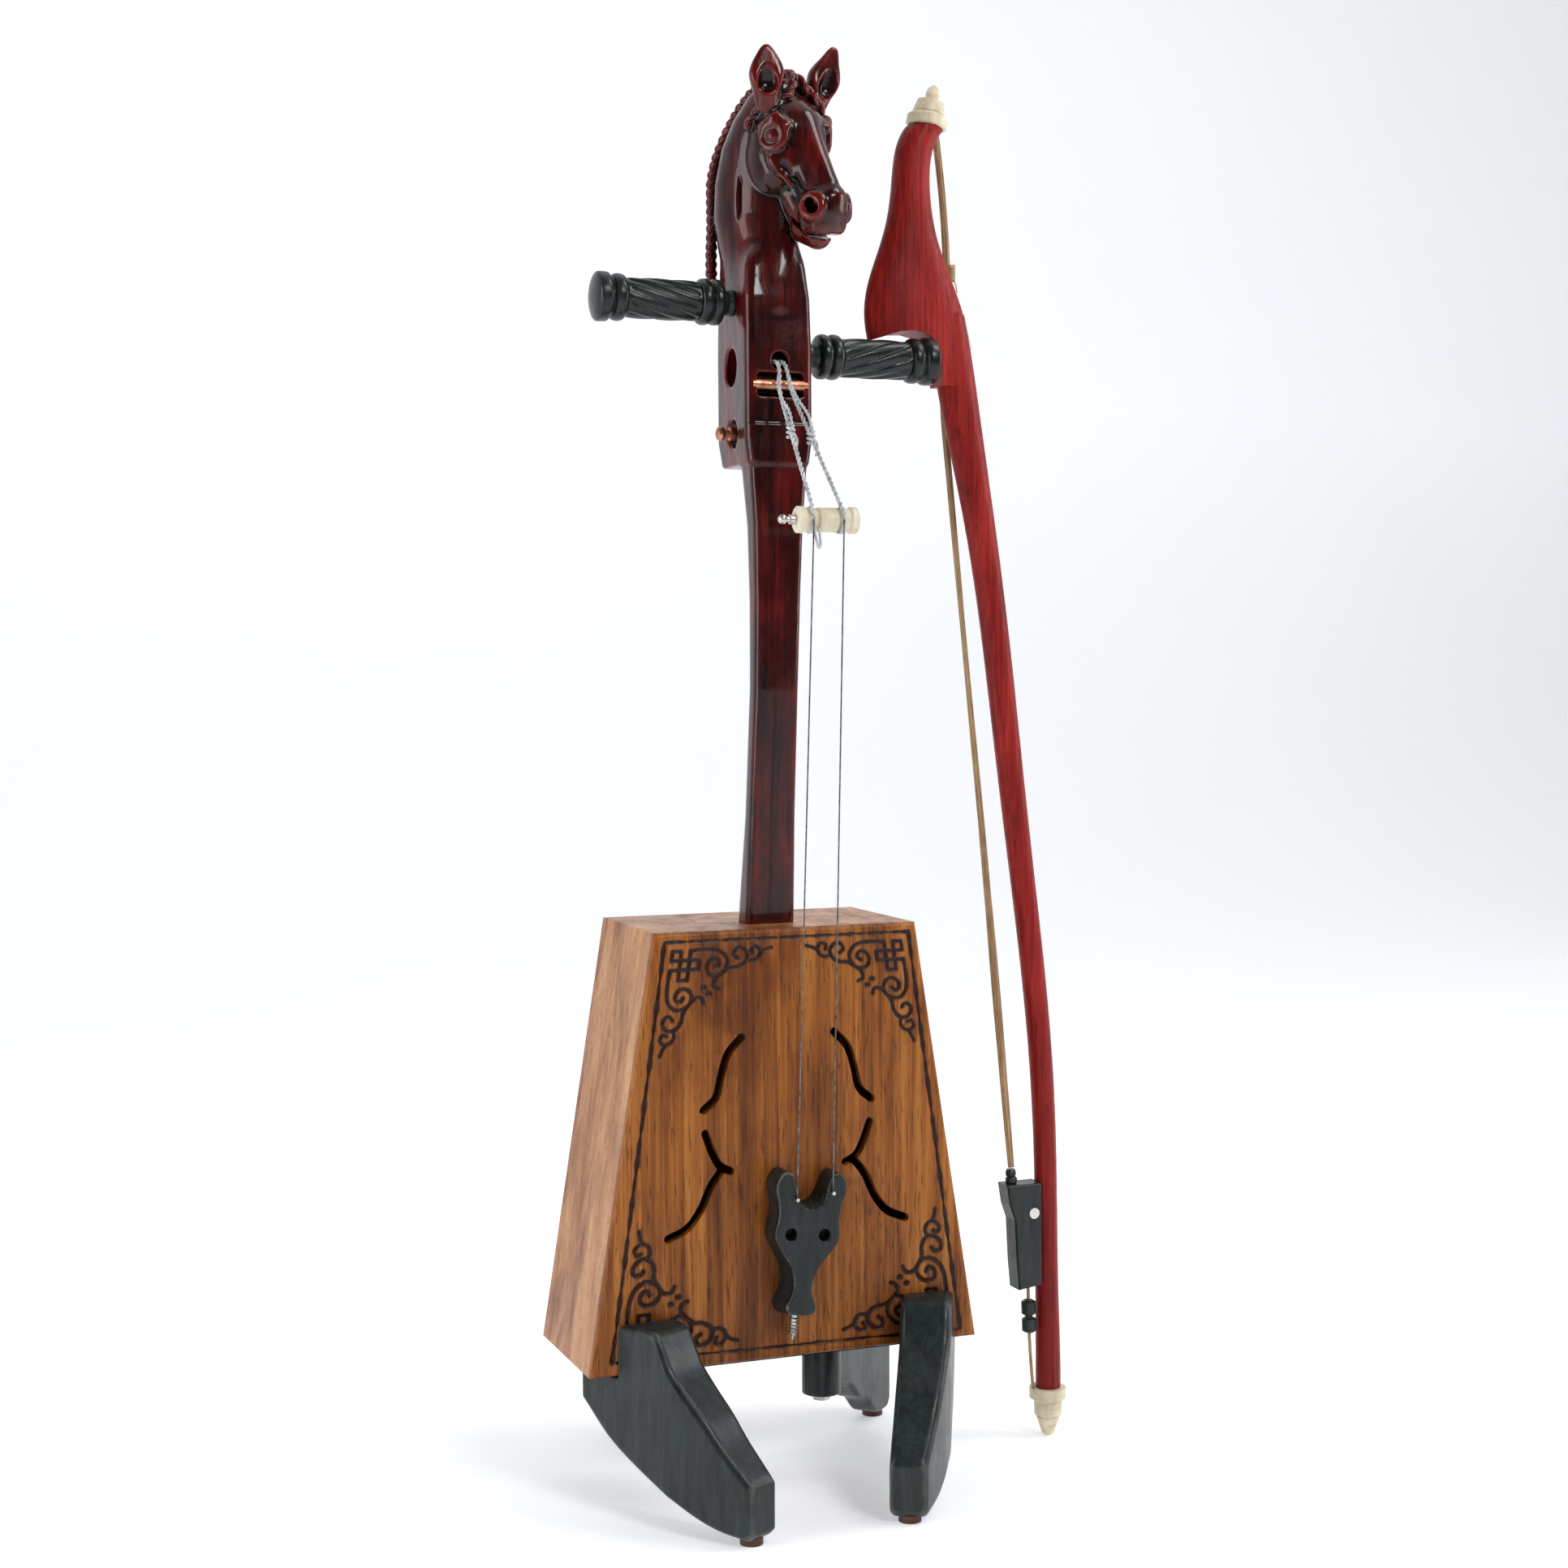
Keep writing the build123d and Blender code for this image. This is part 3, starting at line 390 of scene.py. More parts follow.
def sweep(path, radii, around=10):
    """Points and faces of a tube with a radius at each point of the path."""
    sides, ups = path_frames(path)
    angle = np.linspace(0, 2 * math.pi, around, endpoint=False)
    radii = np.broadcast_to(np.asarray(radii, float), (len(path),))
    rings = (path[:, None, :] + radii[:, None, None]
             * (np.cos(angle)[None, :, None] * sides[:, None, :]
                + np.sin(angle)[None, :, None] * ups[:, None, :]))
    points = rings.reshape(-1, 3)
    faces = []
    for i in range(len(path) - 1):
        for j in range(around):
            k = (j + 1) % around
            faces.append((i * around + j, i * around + k, (i + 1) * around + k, (i + 1) * around + j))
    faces.append(tuple(range(around))[::-1])
    faces.append(tuple((len(path) - 1) * around + j for j in range(around)))
    return points, faces


def joined(parts):
    """Several (points, faces) pairs as one."""
    points, faces, start = [], [], 0
    for part_points, part_faces in parts:
        points.append(np.asarray(part_points))
        faces += [tuple(start + i for i in face) for face in part_faces]
        start += len(part_points)
    return np.vstack(points), faces


def revolve(profile, origin, direction, around=48, wobble=None):
    """Points and faces of a turned shape: (radius, height) points about an axis."""
    profile = np.asarray(profile, float)
    z_axis = np.asarray(direction, float) / np.linalg.norm(direction)
    x_axis = np.cross((0.0, 1.0, 0.0), z_axis)
    x_axis /= np.linalg.norm(x_axis)
    y_axis = np.cross(z_axis, x_axis)
    points = []
    for radius, height in profile:
        for j in range(around):
            angle = 2 * math.pi * j / around
            r = radius + (wobble(angle, height) if wobble else 0.0)
            points.append(np.asarray(origin) + z_axis * height
                          + r * (math.cos(angle) * x_axis + math.sin(angle) * y_axis))
    faces = []
    for i in range(len(profile) - 1):
        for j in range(around):
            k = (j + 1) % around
            faces.append((i * around + j, i * around + k, (i + 1) * around + k, (i + 1) * around + j))
    faces.append(tuple(range(around))[::-1])
    faces.append(tuple((len(profile) - 1) * around + j for j in range(around)))
    return np.array(points), faces


# ---- solid modelling with distance fields ---------------------------------------------------
def soft_min(a, b, k):
    """Union of two distance fields with a fillet of about k."""
    if k <= 0:
        return np.minimum(a, b)
    h = np.maximum(k - np.abs(a - b), 0.0) / k
    return np.minimum(a, b) - h * h * k * 0.25


def soft_max(a, b, k):
    return -soft_min(-a, -b, k)


def ellipsoid(p, center, radii):
    q = [(p[i] - center[i]) for i in range(3)]
    near = np.sqrt(sum((q[i] / radii[i]) ** 2 for i in range(3)))
    far = np.sqrt(sum((q[i] / radii[i] ** 2) ** 2 for i in range(3)))
    return near * (near - 1.0) / np.maximum(far, 1e-6)


def round_cone(p, a, b, ra, rb, squeeze=(1.0, 1.0, 1.0)):
    """A rod with rounded ends whose radius goes from ra to rb; squeeze scales the axes."""
    a = [a[i] * squeeze[i] for i in range(3)]
    b = [b[i] * squeeze[i] for i in range(3)]
    d = [b[i] - a[i] for i in range(3)]
    q = [p[i] * squeeze[i] - a[i] for i in range(3)]
    length = sum(v * v for v in d)
    t = np.clip(sum(q[i] * d[i] for i in range(3)) / length, 0.0, 1.0)
    return np.sqrt(sum((q[i] - t * d[i]) ** 2 for i in range(3))) - (ra + (rb - ra) * t)


def box_field(p, center, half, rounding=0.0):
    q = [np.abs(p[i] - center[i]) - (half[i] - rounding) for i in range(3)]
    outside = np.sqrt(sum(np.maximum(v, 0.0) ** 2 for v in q))
    inside = np.minimum(np.maximum(np.maximum(q[0], q[1]), q[2]), 0.0)
    return outside + inside - rounding


class Field:
    """A distance field on a regular grid; shapes are added or cut only near where they are."""

    def __init__(self, low, high, step):
        self.low = np.array(low, float)
        self.step = step
        counts = np.ceil((np.array(high) - self.low) / step).astype(int) + 1
        self.axes = [(self.low[i] + step * np.arange(counts[i])).astype(np.float32) for i in range(3)]
        self.values = np.full(tuple(counts), 8.0, np.float32)

    def window(self, low, high):
        cut = []
        for i in range(3):
            a = int(np.clip((low[i] - self.low[i]) / self.step, 0, len(self.axes[i])))
            b = int(np.clip((high[i] - self.low[i]) / self.step + 2, 0, len(self.axes[i])))
            cut.append(slice(a, b))
        x = self.axes[0][cut[0]][:, None, None]
        y = self.axes[1][cut[1]][None, :, None]
        z = self.axes[2][cut[2]][None, None, :]
        return tuple(cut), (x, y, z)

    def add(self, shape, low, high, k=0.0):
        cut, p = self.window(low, high)
        self.values[cut] = soft_min(self.values[cut], shape(p), k)

    def cut(self, shape, low, high, k=0.0):
        cut, p = self.window(low, high)
        self.values[cut] = soft_max(self.values[cut], -shape(p), k)

    def mesh(self):
        """Surface points, faces, and how convex the surface is at each point."""
        grid = openvdb.FloatGrid(8.0)
        grid.copyFromArray(np.ascontiguousarray(self.values))
        points, quads = grid.convertToQuads(isovalue=0.0)
        return self.low + points * self.step, quads

    def convexity(self, points, reach=2):
        """Positive on ridges and negative in hollows, about one at an edge of radius reach."""
        blurred = self.values
        for axis in range(3):
            total = np.cumsum(np.pad(blurred, [(reach + 1, reach) if i == axis else (0, 0)
                                               for i in range(3)], mode="edge"), axis=axis,
                              dtype=np.float64)
            width = 2 * reach + 1
            high = np.take(total, range(width, total.shape[axis]), axis=axis)
            low = np.take(total, range(0, total.shape[axis] - width), axis=axis)
            blurred = ((high - low) / width).astype(np.float32)
        change = blurred - self.values
        index = np.clip(np.rint((points - self.low) / self.step).astype(int), 0,
                        np.array(self.values.shape) - 1)
        return change[index[:, 0], index[:, 1], index[:, 2]] / self.step


def relaxed(points, faces, rounds=1):
    """Points moved towards the middle of their neighbours, to even out the grid's steps."""
    faces = np.asarray(faces)
    for _ in range(rounds):
        total = np.zeros_like(points)
        count = np.zeros(len(points))
        for i in range(faces.shape[1]):
            j = (i + 1) % faces.shape[1]
            np.add.at(total, faces[:, i], points[faces[:, j]])
            np.add.at(total, faces[:, j], points[faces[:, i]])
            np.add.at(count, faces[:, i], 1)
            np.add.at(count, faces[:, j], 1)
        points = 0.5 * points + 0.5 * total / count[:, None]
    return points


def thinned(piece, most_triangles):
    """Collapses a dense mesh to at most so many triangles."""
    triangles = sum(len(face.vertices) - 2 for face in piece.data.polygons)
    if triangles <= most_triangles:
        return
    modifier = piece.modifiers.new("thin", "DECIMATE")
    modifier.ratio = most_triangles / triangles
    graph = bpy.context.evaluated_depsgraph_get()
    old = piece.data
    piece.data = bpy.data.meshes.new_from_object(piece.evaluated_get(graph))
    piece.modifiers.clear()
    piece.data.name = old.name
    bpy.data.meshes.remove(old)


# ---- front plate with its carved and burnt ornament -------------------------------------------
PLATE = 5.0
PLATE_EDGE = 2.5                         # rounding of the plate's rim
SLOT_WIDTH = 4.5
HALF_BOTTOM = (PLATE_HIGH.x - PLATE_LOW.x) / MM / 2
HALF_TOP = (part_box("top_board")[1].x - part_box("top_board")[0].x) / MM / 2 + 5.1
SLOTS = (((26.5, 249), (34, 241), (38, 229.5), (41, 218), (48, 211.5)),
         ((47, 199), (43.5, 189.5), (39, 181.5), (32.8, 178)),
         ((37, 180), (44, 171), (50, 158.5), (57.5, 149.5), (68, 144.8)))
BORDER = {"top_left": (-69.0, 301.0), "top_right": (70.0, 301.0),
          "bottom_left": (-99.0, 82.5), "bottom_right": (101.0, 80.0)}
# One corner: first number along a border line, second number away from it.
KNOT = ((4.8, 15), (20.5, 15), (20.5, 10), (5, 10), (5, 5), (10, 5), (10, 20.5), (15, 20.5), (15, 4.8))
ARM = ((15, 4.8), (22, 4.6), (28, 4.8), (33, 6.6), (36.2, 11), (35, 16.2), (31, 18.8), (26.6, 17.4),
       (25, 13.2), (27, 9.9), (30.6, 9.9), (31.8, 12.6), (29.8, 14.0))
SECOND_CURL = ((34.6, 16.8), (38, 15.0), (42, 14.6), (46, 12.2), (47, 8), (44, 4.6), (40.4, 4.8),
               (39.4, 7.8), (41.4, 9.6))
THIRD_CURL = ((46.6, 10.6), (50, 11.6), (53.2, 10), (54, 6.5), (51.6, 4), (48.9, 5.2), (49.6, 7.4))
TAIL = ((53.6, 8.6), (56, 6.4), (60.2, 5.0))
HOOK = ((32.2, 18.6), (30.0, 21.4), (30.4, 24.4), (33.0, 25.6))
DOTS = ((24.8, 24.8), (28.0, 28.0))


def half_width(z):
    share = (z - BOX_BASE) / (BOX_TOP - BOX_BASE)
    return HALF_BOTTOM + (HALF_TOP - HALF_BOTTOM) * share


def ornament_strokes():
    """Every carved line of the front as (points, half width, unevenness)."""
    corners = {name: np.array(spot) for name, spot in BORDER.items()}
    strokes = []
    for a, b, thick in (("top_left", "top_right", 0.75), ("bottom_left", "bottom_right", 0.65),
                        ("top_left", "bottom_left", 0.95), ("top_right", "bottom_right", 0.95)):
        share = np.linspace(0, 1, 60)[:, None]
        strokes.append((corners[a] * (1 - share) + corners[b] * share, thick, 0.55))
    for vertical, other in (("top", "bottom"), ("bottom", "top")):
        for side, far in (("left", "right"), ("right", "left")):
            corner = corners[vertical + "_" + side]
            level = corners[vertical + "_" + far] - corner
            rising = corners[other + "_" + side] - corner
            level = level / np.linalg.norm(level)
            rising = rising / np.linalg.norm(rising)
            reach = 1.0 if vertical == "top" else 1.14

            def spot(along, across, axis=level, cross=rising, corner=corner, reach=reach):
                return corner + (axis * along + cross * across) * reach

            strokes.append((np.array([spot(u, v) for u, v in KNOT]), 1.05, 0.12))
            strokes += [(np.array([spot(u, v) + d for d in ((-0.4, 0), (0.4, 0))]), 1.45, 0.1)
                        for u, v in DOTS]
            for axis, cross in ((level, rising), (rising, level)):
                for line, thick in ((ARM, 1.0), (SECOND_CURL, 1.0), (THIRD_CURL, 0.9), (TAIL, 0.85),
                                    (HOOK, 0.95)):
                    points = smooth_curve([spot(u, v, axis, cross) for u, v in line], 6)
                    strokes.append((points, thick * (reach + 0.04), 0.12))
    return strokes


def distance_to_line(x, z, line):
    """Distance from points to a polyline, and how far along the nearest point is."""
    a, b = line[:-1], line[1:]
    d = b - a
    length = np.maximum((d ** 2).sum(1), 1e-9)
    t = ((x[:, None] - a[None, :, 0]) * d[:, 0] + (z[:, None] - a[None, :, 1]) * d[:, 1]) / length
    t = np.clip(t, 0, 1)
    near_x = a[:, 0] + t * d[:, 0]
    near_z = a[:, 1] + t * d[:, 1]
    distance = np.hypot(x[:, None] - near_x, z[:, None] - near_z)
    best = distance.argmin(1)
    row = np.arange(len(x))
    return distance[row, best], near_x[row, best], near_z[row, best], best + t[row, best]


def front_plate():
    columns, rows = 280, 308
    rim = np.array([0.0, 0.12, 0.45, 1.0, 1.7]) / HALF_BOTTOM
    across = np.concatenate([-1 + rim, np.linspace(-1 + 2.5 / HALF_BOTTOM, 1 - 2.5 / HALF_BOTTOM,
                                                   columns), (1 - rim)[::-1]])
    height = BOX_TOP - BOX_BASE
    edge = np.array([0.0, 0.12, 0.45, 1.0, 1.7])
    levels = np.concatenate([BOX_BASE + edge, np.linspace(BOX_BASE + 2.5, BOX_TOP - 2.5, rows),
                             (BOX_TOP - edge)[::-1]])
    z = np.repeat(levels, len(across))
    x = np.tile(across, len(levels)) * half_width(z)
    carve = np.zeros(len(x))
    burn = np.zeros(len(x))
    for line, half, uneven in ornament_strokes():
        low, high = line.min(0) - 4, line.max(0) + 4
        near = np.where((x > low[0]) & (x < high[0]) & (z > low[1]) & (z < high[1]))[0]
        distance, _, _, along = distance_to_line(x[near], z[near], line)
        phase = line[0, 0] + line[0, 1]
        vary = np.sin(along * 0.9 + phase) + 0.7 * np.sin(along * 2.3 + 2 * phase)
        reach = half * (1 + uneven * 0.6 * vary)
        carve[near] = np.maximum(carve[near], np.clip(1.25 - distance / reach, 0, 1))
        burn[near] = np.maximum(burn[near], np.clip(1 - (distance - reach + 1) / 2.5, 0, 1))
    y = 0.95 * carve ** 0.8
    slot_distance = np.full(len(x), 99.0)
    for side in (-1, 1):
        for points in SLOTS:
            line = smooth_curve([(side * a, b) for a, b in points], 8)
            low, high = line.min(0) - 6, line.max(0) + 6
            near = np.where((x > low[0]) & (x < high[0]) & (z > low[1]) & (z < high[1]))[0]
            distance, near_x, near_z, _ = distance_to_line(x[near], z[near], line)
            gap = distance - SLOT_WIDTH / 2
            snap = (np.abs(gap) < 0.42) & (np.abs(gap) < np.abs(slot_distance[near]))
            pull = SLOT_WIDTH / 2 / np.maximum(distance[snap], 0.1)
            x[near[snap]] = near_x[snap] + (x[near[snap]] - near_x[snap]) * pull
            z[near[snap]] = near_z[snap] + (z[near[snap]] - near_z[snap]) * pull
            gap[snap] = 0.0
            slot_distance[near] = np.minimum(slot_distance[near], gap)
    inset = np.minimum(np.minimum(z - BOX_BASE, BOX_TOP - z), half_width(z) - np.abs(x))
    inside = np.clip(PLATE_EDGE - inset, 0, PLATE_EDGE)
    y += PLATE_EDGE - np.sqrt(np.maximum(PLATE_EDGE ** 2 - inside ** 2, 0))
    y += 0.25 * np.clip(1 - slot_distance / 0.8, 0, 1) ** 2
    wide = len(across)
    faces = []
    for i in range(len(levels) - 1):
        for j in range(wide - 1):
            quad = (i * wide + j, i * wide + j + 1, (i + 1) * wide + j + 1, (i + 1) * wide + j)
            gaps = slot_distance[list(quad)]
            if gaps.min() > 0.01:
                faces.append(quad)
                continue
            if abs(gaps[0]) + abs(gaps[2]) < abs(gaps[1]) + abs(gaps[3]):
                halves = (quad[:3], (quad[0], quad[2], quad[3]))
            else:
                halves = ((quad[0], quad[1], quad[3]), quad[1:])
            faces += [half for half in halves if slot_distance[list(half)].mean() > 0.05]
    piece = add_mesh("carved_front", np.stack([x, y, z], 1), faces, "fiddle", "soundboard_wood",
                     attributes={"burn": burn})
    work = bmesh.new()
    work.from_mesh(piece.data)
    bmesh.ops.delete(work, geom=[v for v in work.verts if not v.link_faces], context="VERTS")
    rims = [edge for edge in work.edges if edge.is_boundary]
    walls = bmesh.ops.extrude_edge_only(work, edges=rims)["geom"]
    back = ORIGIN[1] + PLATE * MM
    for vertex in (g for g in walls if isinstance(g, bmesh.types.BMVert)):
        vertex.co.y = back
        vertex[work.verts.layers.float["burn"]] = 0.0
    bmesh.ops.recalc_face_normals(work, faces=work.faces)
    sharp = math.radians(55)
    for face in work.faces:
        face.smooth = True
    for edge in work.edges:
        edge.smooth = len(edge.link_faces) == 2 and edge.calc_face_angle(0.0) < sharp
    work.to_mesh(piece.data)
    work.free()
    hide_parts("front_plate")


# ---- neck, pegbox and carved horse's head ----------------------------------------------------
NECK_TOP = 552.0
PEG_Y = 31.0
UPPER_PEG_Z = 638.4
LOWER_PEG_Z = 612.3
KNOB_Z = 569.0
HEAD_TURN = math.radians(20.0)
HEAD_TILT = 0.08                          # the right side of the face is carved a little higher
HEAD_X = 5.6                              # where the head's own upright axis stands
HEAD_Y = 33.0


def head_frame(p):
    """Sideways, forward and up from the head's own axis."""
    dx, dy = p[0] - HEAD_X, p[1] - HEAD_Y
    side = dx * math.cos(HEAD_TURN) + dy * math.sin(HEAD_TURN)
    ahead = dx * math.sin(HEAD_TURN) - dy * math.cos(HEAD_TURN)
    return side, ahead, p[2] - HEAD_TILT * side


def head_spot(side, ahead, z):
    return (HEAD_X + side * math.cos(HEAD_TURN) + ahead * math.sin(HEAD_TURN),
            HEAD_Y + side * math.sin(HEAD_TURN) - ahead * math.cos(HEAD_TURN),
            z + HEAD_TILT * side)


def neck_field(p):
    """The handle: flat front with eased edges, rounded back."""
    x, y, z = p
    heights = (306, 365, 432, 480, 520, 552, 566)
    half = np.interp(z, heights, (14, 13, 12.5, 13, 14, 16.2, 17.6))
    front = np.interp(z, heights, (23.6, 19, 12.6, 10, 8.3, 7.8, 7.2))
    back = np.interp(z, heights, (50, 38, 32, 31, 33, 38, 44))
    middle = front + 0.45 * (back - front)
    rear = np.sqrt((x / half) ** 2 + (np.maximum(y - middle, 0) / (back - middle)) ** 2)
    sides = (rear - 1) * half
    return soft_max(soft_max(sides, front - y, 5.0), 305.9 - z, 0.0)


def pegbox_field(p):
    x, y, z = p
    heights = (552, 566, 612, 640, 664, 690)
    half = np.interp(z, heights, (17.2, 19, 19, 18.6, 16.5, 14))
    front = np.interp(z, heights, (7.8, 7.0, 7.4, 9, 13, 18))
    back = np.interp(z, heights, (55, 56.5, 57, 57, 56, 50))
    rounding = 5.0
    qx = np.abs(x) - half + rounding
    qy = np.abs(y - (front + back) / 2) - (back - front) / 2 + rounding
    outside = np.sqrt(np.maximum(qx, 0) ** 2 + np.maximum(qy, 0) ** 2)
    wall = outside + np.minimum(np.maximum(qx, qy), 0) - rounding
    hollow = 0.9 * np.exp(-(x / 9.0) ** 2 - ((z - 628) / 40.0) ** 2)
    wall = wall + hollow * (y < 25)
    return soft_max(soft_max(wall, NECK_TOP - z, 2.0), z - 668, 14.0)


def crest_field(p):
    """The arched neck: oval sections that turn to the left as they rise to the poll."""
    x, y, z = p
    heights = (630, 650, 668, 686, 705, 723, 737, 748, 757)
    turn = np.radians(np.interp(z, heights, (0, 10, 26, 36, 36, 33, 29, 25, 22)))
    cx = np.interp(z, heights, (0, -0.8, -2.2, -3.6, -3.6, -2.4, 0.0, 3.0, 6.0))
    cy = np.interp(z, heights, (33, 33, 34.5, 37, 37, 35, 31, 27, 22))
    a_size = np.interp(z, heights, (17, 16.4, 15.4, 14.2, 13.8, 13.4, 12.8, 11.0, 8))
    b_size = np.interp(z, heights, (24, 25, 25.5, 24.5, 23.8, 21.8, 19, 15, 8))
    a = (x - cx) * np.cos(turn) + (y - cy) * np.sin(turn)
    b = -(x - cx) * np.sin(turn) + (y - cy) * np.cos(turn)
    oval = np.sqrt((a / a_size) ** 2 + (b / b_size) ** 2)
    body = (oval - 1) * a_size * (0.75 + 0.25 * a_size / b_size)
    return soft_max(soft_max(body, 632 - z, 6.0), z - 756, 4.0)


def add_head(field):
    """The skull, jaw, muzzle and the small features of the face."""

    def put(shape, spots, reach, k):
        spots = np.array([head_spot(*spot) for spot in spots])
        field.add(lambda p: shape(head_frame(p)), spots.min(0) - reach, spots.max(0) + reach, k)

    def take(shape, spots, reach, k):
        spots = np.array([head_spot(*spot) for spot in spots])
        field.cut(lambda p: shape(head_frame(p)), spots.min(0) - reach, spots.max(0) + reach, k)

    def ring_of(spots, radius, k):
        ring = smooth_curve(spots, 4, closed=True)
        for start, end in zip(ring, np.roll(ring, -1, axis=0)):
            put(lambda q: round_cone(q, start, end, radius, radius), [start, end], radius + 4, k)

    put(lambda q: ellipsoid(q, (0, 8, 734), (18.5, 14.5, 25)), [(0, 11, 734)], 34, 1.5)
    put(lambda q: ellipsoid(q, (0, 18.5, 729), (19.6, 11.5, 12.5)), [(0, 19, 729)], 28, 7.0)
    for s in (-1, 1):
        put(lambda q: ellipsoid(q, (s * 11.0, 10.5, 716), (9.2, 17.6, 20.8)), [(s * 11, 11, 715)],
            32, 3.5)
    put(lambda q: round_cone(q, (0, 17.0, 730), (0, 38.0, 692), 12.8, 9.8, (1.06, 1, 1)),
        [(0, 17, 730), (0, 38, 692)], 20, 7.0)
    put(lambda q: ellipsoid(q, (0, 40.5, 684.5), (13.8, 12.4, 11.5)), [(0, 41, 684)], 20, 5.0)
    put(lambda q: box_field(q, (0, 40.6, 678.6), (11.6, 8.4, 8.6), 5.5), [(0, 41, 678)], 18, 4.0)
    put(lambda q: round_cone(q, (0, 16, 698), (0, 28, 678.0), 9.2, 7.4), [(0, 16, 698), (0, 28, 678)],
        16, 4.0)
    put(lambda q: round_cone(q, (0, 27, 675.5), (0, 36.5, 670.0), 7.4, 6.3, (0.9, 1, 1)),
        [(0, 27, 675), (0, 37, 670)], 13, 3.0)
    # a ridge down the middle of the nose, which ends in a round boss over the lip
    put(lambda q: round_cone(q, (0, 26.8, 733), (0, 45.0, 698), 3.2, 3.4, (0.8, 1, 1)),
        [(0, 27, 733), (0, 45, 698)], 9, 5.0)
    put(lambda q: ellipsoid(q, (0, 47.6, 689.5), (7.0, 5.6, 5.6)), [(0, 47, 690)], 10, 4.0)
    for s in (-1, 1):
        # crest of the cheek, its groove, and the hollow in front of the jaw
        put(lambda q: round_cone(q, (s * 17.6, 20, 712), (s * 12.4, 30, 697), 2.2, 1.7),
            [(s * 18, 20, 712), (s * 12, 30, 697)], 7, 3.0)
        take(lambda q: round_cone(q, (s * 17.0, 27.0, 707), (s * 12.6, 35.0, 694), 2.6, 1.8),
             [(s * 18, 26, 706), (s * 12, 36, 692)], 8, 4.0)
        take(lambda q: round_cone(q, (s * 20.5, 17.0, 701), (s * 16.0, 26.5, 687), 2.0, 3.0),
             [(s * 20, 17, 701), (s * 16, 26, 687)], 9, 3.5)
        take(lambda q: round_cone(q, (s * 15.2, 33.5, 718), (s * 12.6, 40.5, 703), 3.4, 2.8),
             [(s * 15, 34, 716), (s * 12, 40, 703)], 9, 5.0)
        # eye: socket, ball, lids and brow
        eye = (s * 18.4, 21.4, 724.5)
        take(lambda q: ellipsoid(q, (s * 20.8, 22.4, 724.5), (6.2, 7.3, 6.9)), [eye], 13, 3.0)
        put(lambda q: ellipsoid(q, (s * 17.2, 21.0, 724.3), (4.5, 4.7, 4.5)), [eye], 10, 0.4)
        ring_of([(s * 19.9, 15.0, 724.0), (s * 20.0, 17.2, 729.0), (s * 18.6, 22.4, 730.8),
                 (s * 15.9, 26.8, 727.4), (s * 15.9, 26.4, 720.8), (s * 18.0, 22.0, 718.0),
                 (s * 19.8, 17.2, 719.6)], 0.85, 3.2)
        put(lambda q: round_cone(q, (s * 19.6, 13.5, 730.5), (s * 18.0, 22.8, 734.0), 1.6, 2.3),
            [(s * 20, 13, 731), (s * 19, 23, 735)], 8, 3.5)
        put(lambda q: round_cone(q, (s * 18.0, 22.8, 734.0), (s * 13.6, 28.2, 729.5), 2.3, 1.6),
            [(s * 19, 23, 735), (s * 14, 29, 730)], 8, 3.5)
        take(lambda q: round_cone(q, (s * 21.2, 10.0, 728), (s * 21.0, 18.5, 708), 1.1, 1.5),
             [(s * 21, 10, 728), (s * 21, 18, 708)], 7, 2.0)
        # nostril: a raised rim round a tear-shaped hole
        ring_of([(s * 12.8, 39.6, 687.0), (s * 11.6, 43.6, 690.6), (s * 9.4, 47.6, 688.6),
                 (s * 9.2, 49.0, 683.8), (s * 11.4, 46.2, 679.6), (s * 13.4, 41.6, 681.0)], 1.0, 3.2)
        take(lambda q: round_cone(q, (s * 13.4, 44.0, 687.0), (s * 9.6, 38.0, 684.6), 2.3, 1.6),
             [(s * 13, 44, 688), (s * 10, 38, 685)], 8, 0.8)
        take(lambda q: round_cone(q, (s * 13.2, 46.6, 683.6), (s * 9.6, 40.0, 682.0), 2.8, 1.8),
             [(s * 13, 47, 684), (s * 10, 40, 682)], 8, 0.8)
        # corner of the mouth
        take(lambda q: ellipsoid(q, (s * 11.6, 23.0, 681.6), (3.4, 2.1, 1.9)), [(s * 12, 23, 682)],
             8, 0.8)
    # the mouth: a dark gap that drops from its corners to the front
    line = [(23.0, 681.6), (30.6, 676.2), (36.0, 671.8), (42.0, 669.6), (50.0, 669.8)]
    for (b1, z1), (b2, z2) in zip(line, line[1:]):
        middle = ((b1 + b2) / 2, (z1 + z2) / 2)
        slope = math.atan2(z2 - z1, b2 - b1)
        length = math.hypot(z2 - z1, b2 - b1) / 2 + 0.5

        def gap(q, middle=middle, slope=slope, length=length):
            along = (q[1] - middle[0]) * math.cos(slope) + (q[2] - middle[1]) * math.sin(slope)
            over = -(q[1] - middle[0]) * math.sin(slope) + (q[2] - middle[1]) * math.cos(slope)
            return box_field((q[0], along, over), (0, 0, 0), (17, length, 0.95), 0.5)

        take(gap, [(-16, b1, z1), (16, b2, z2)], 4, 0.6)
    take(lambda q: box_field(q, (0, 36, 673.5), (5.5, 9, 2.0), 1.0), [(0, 36, 673)], 12, 0.5)


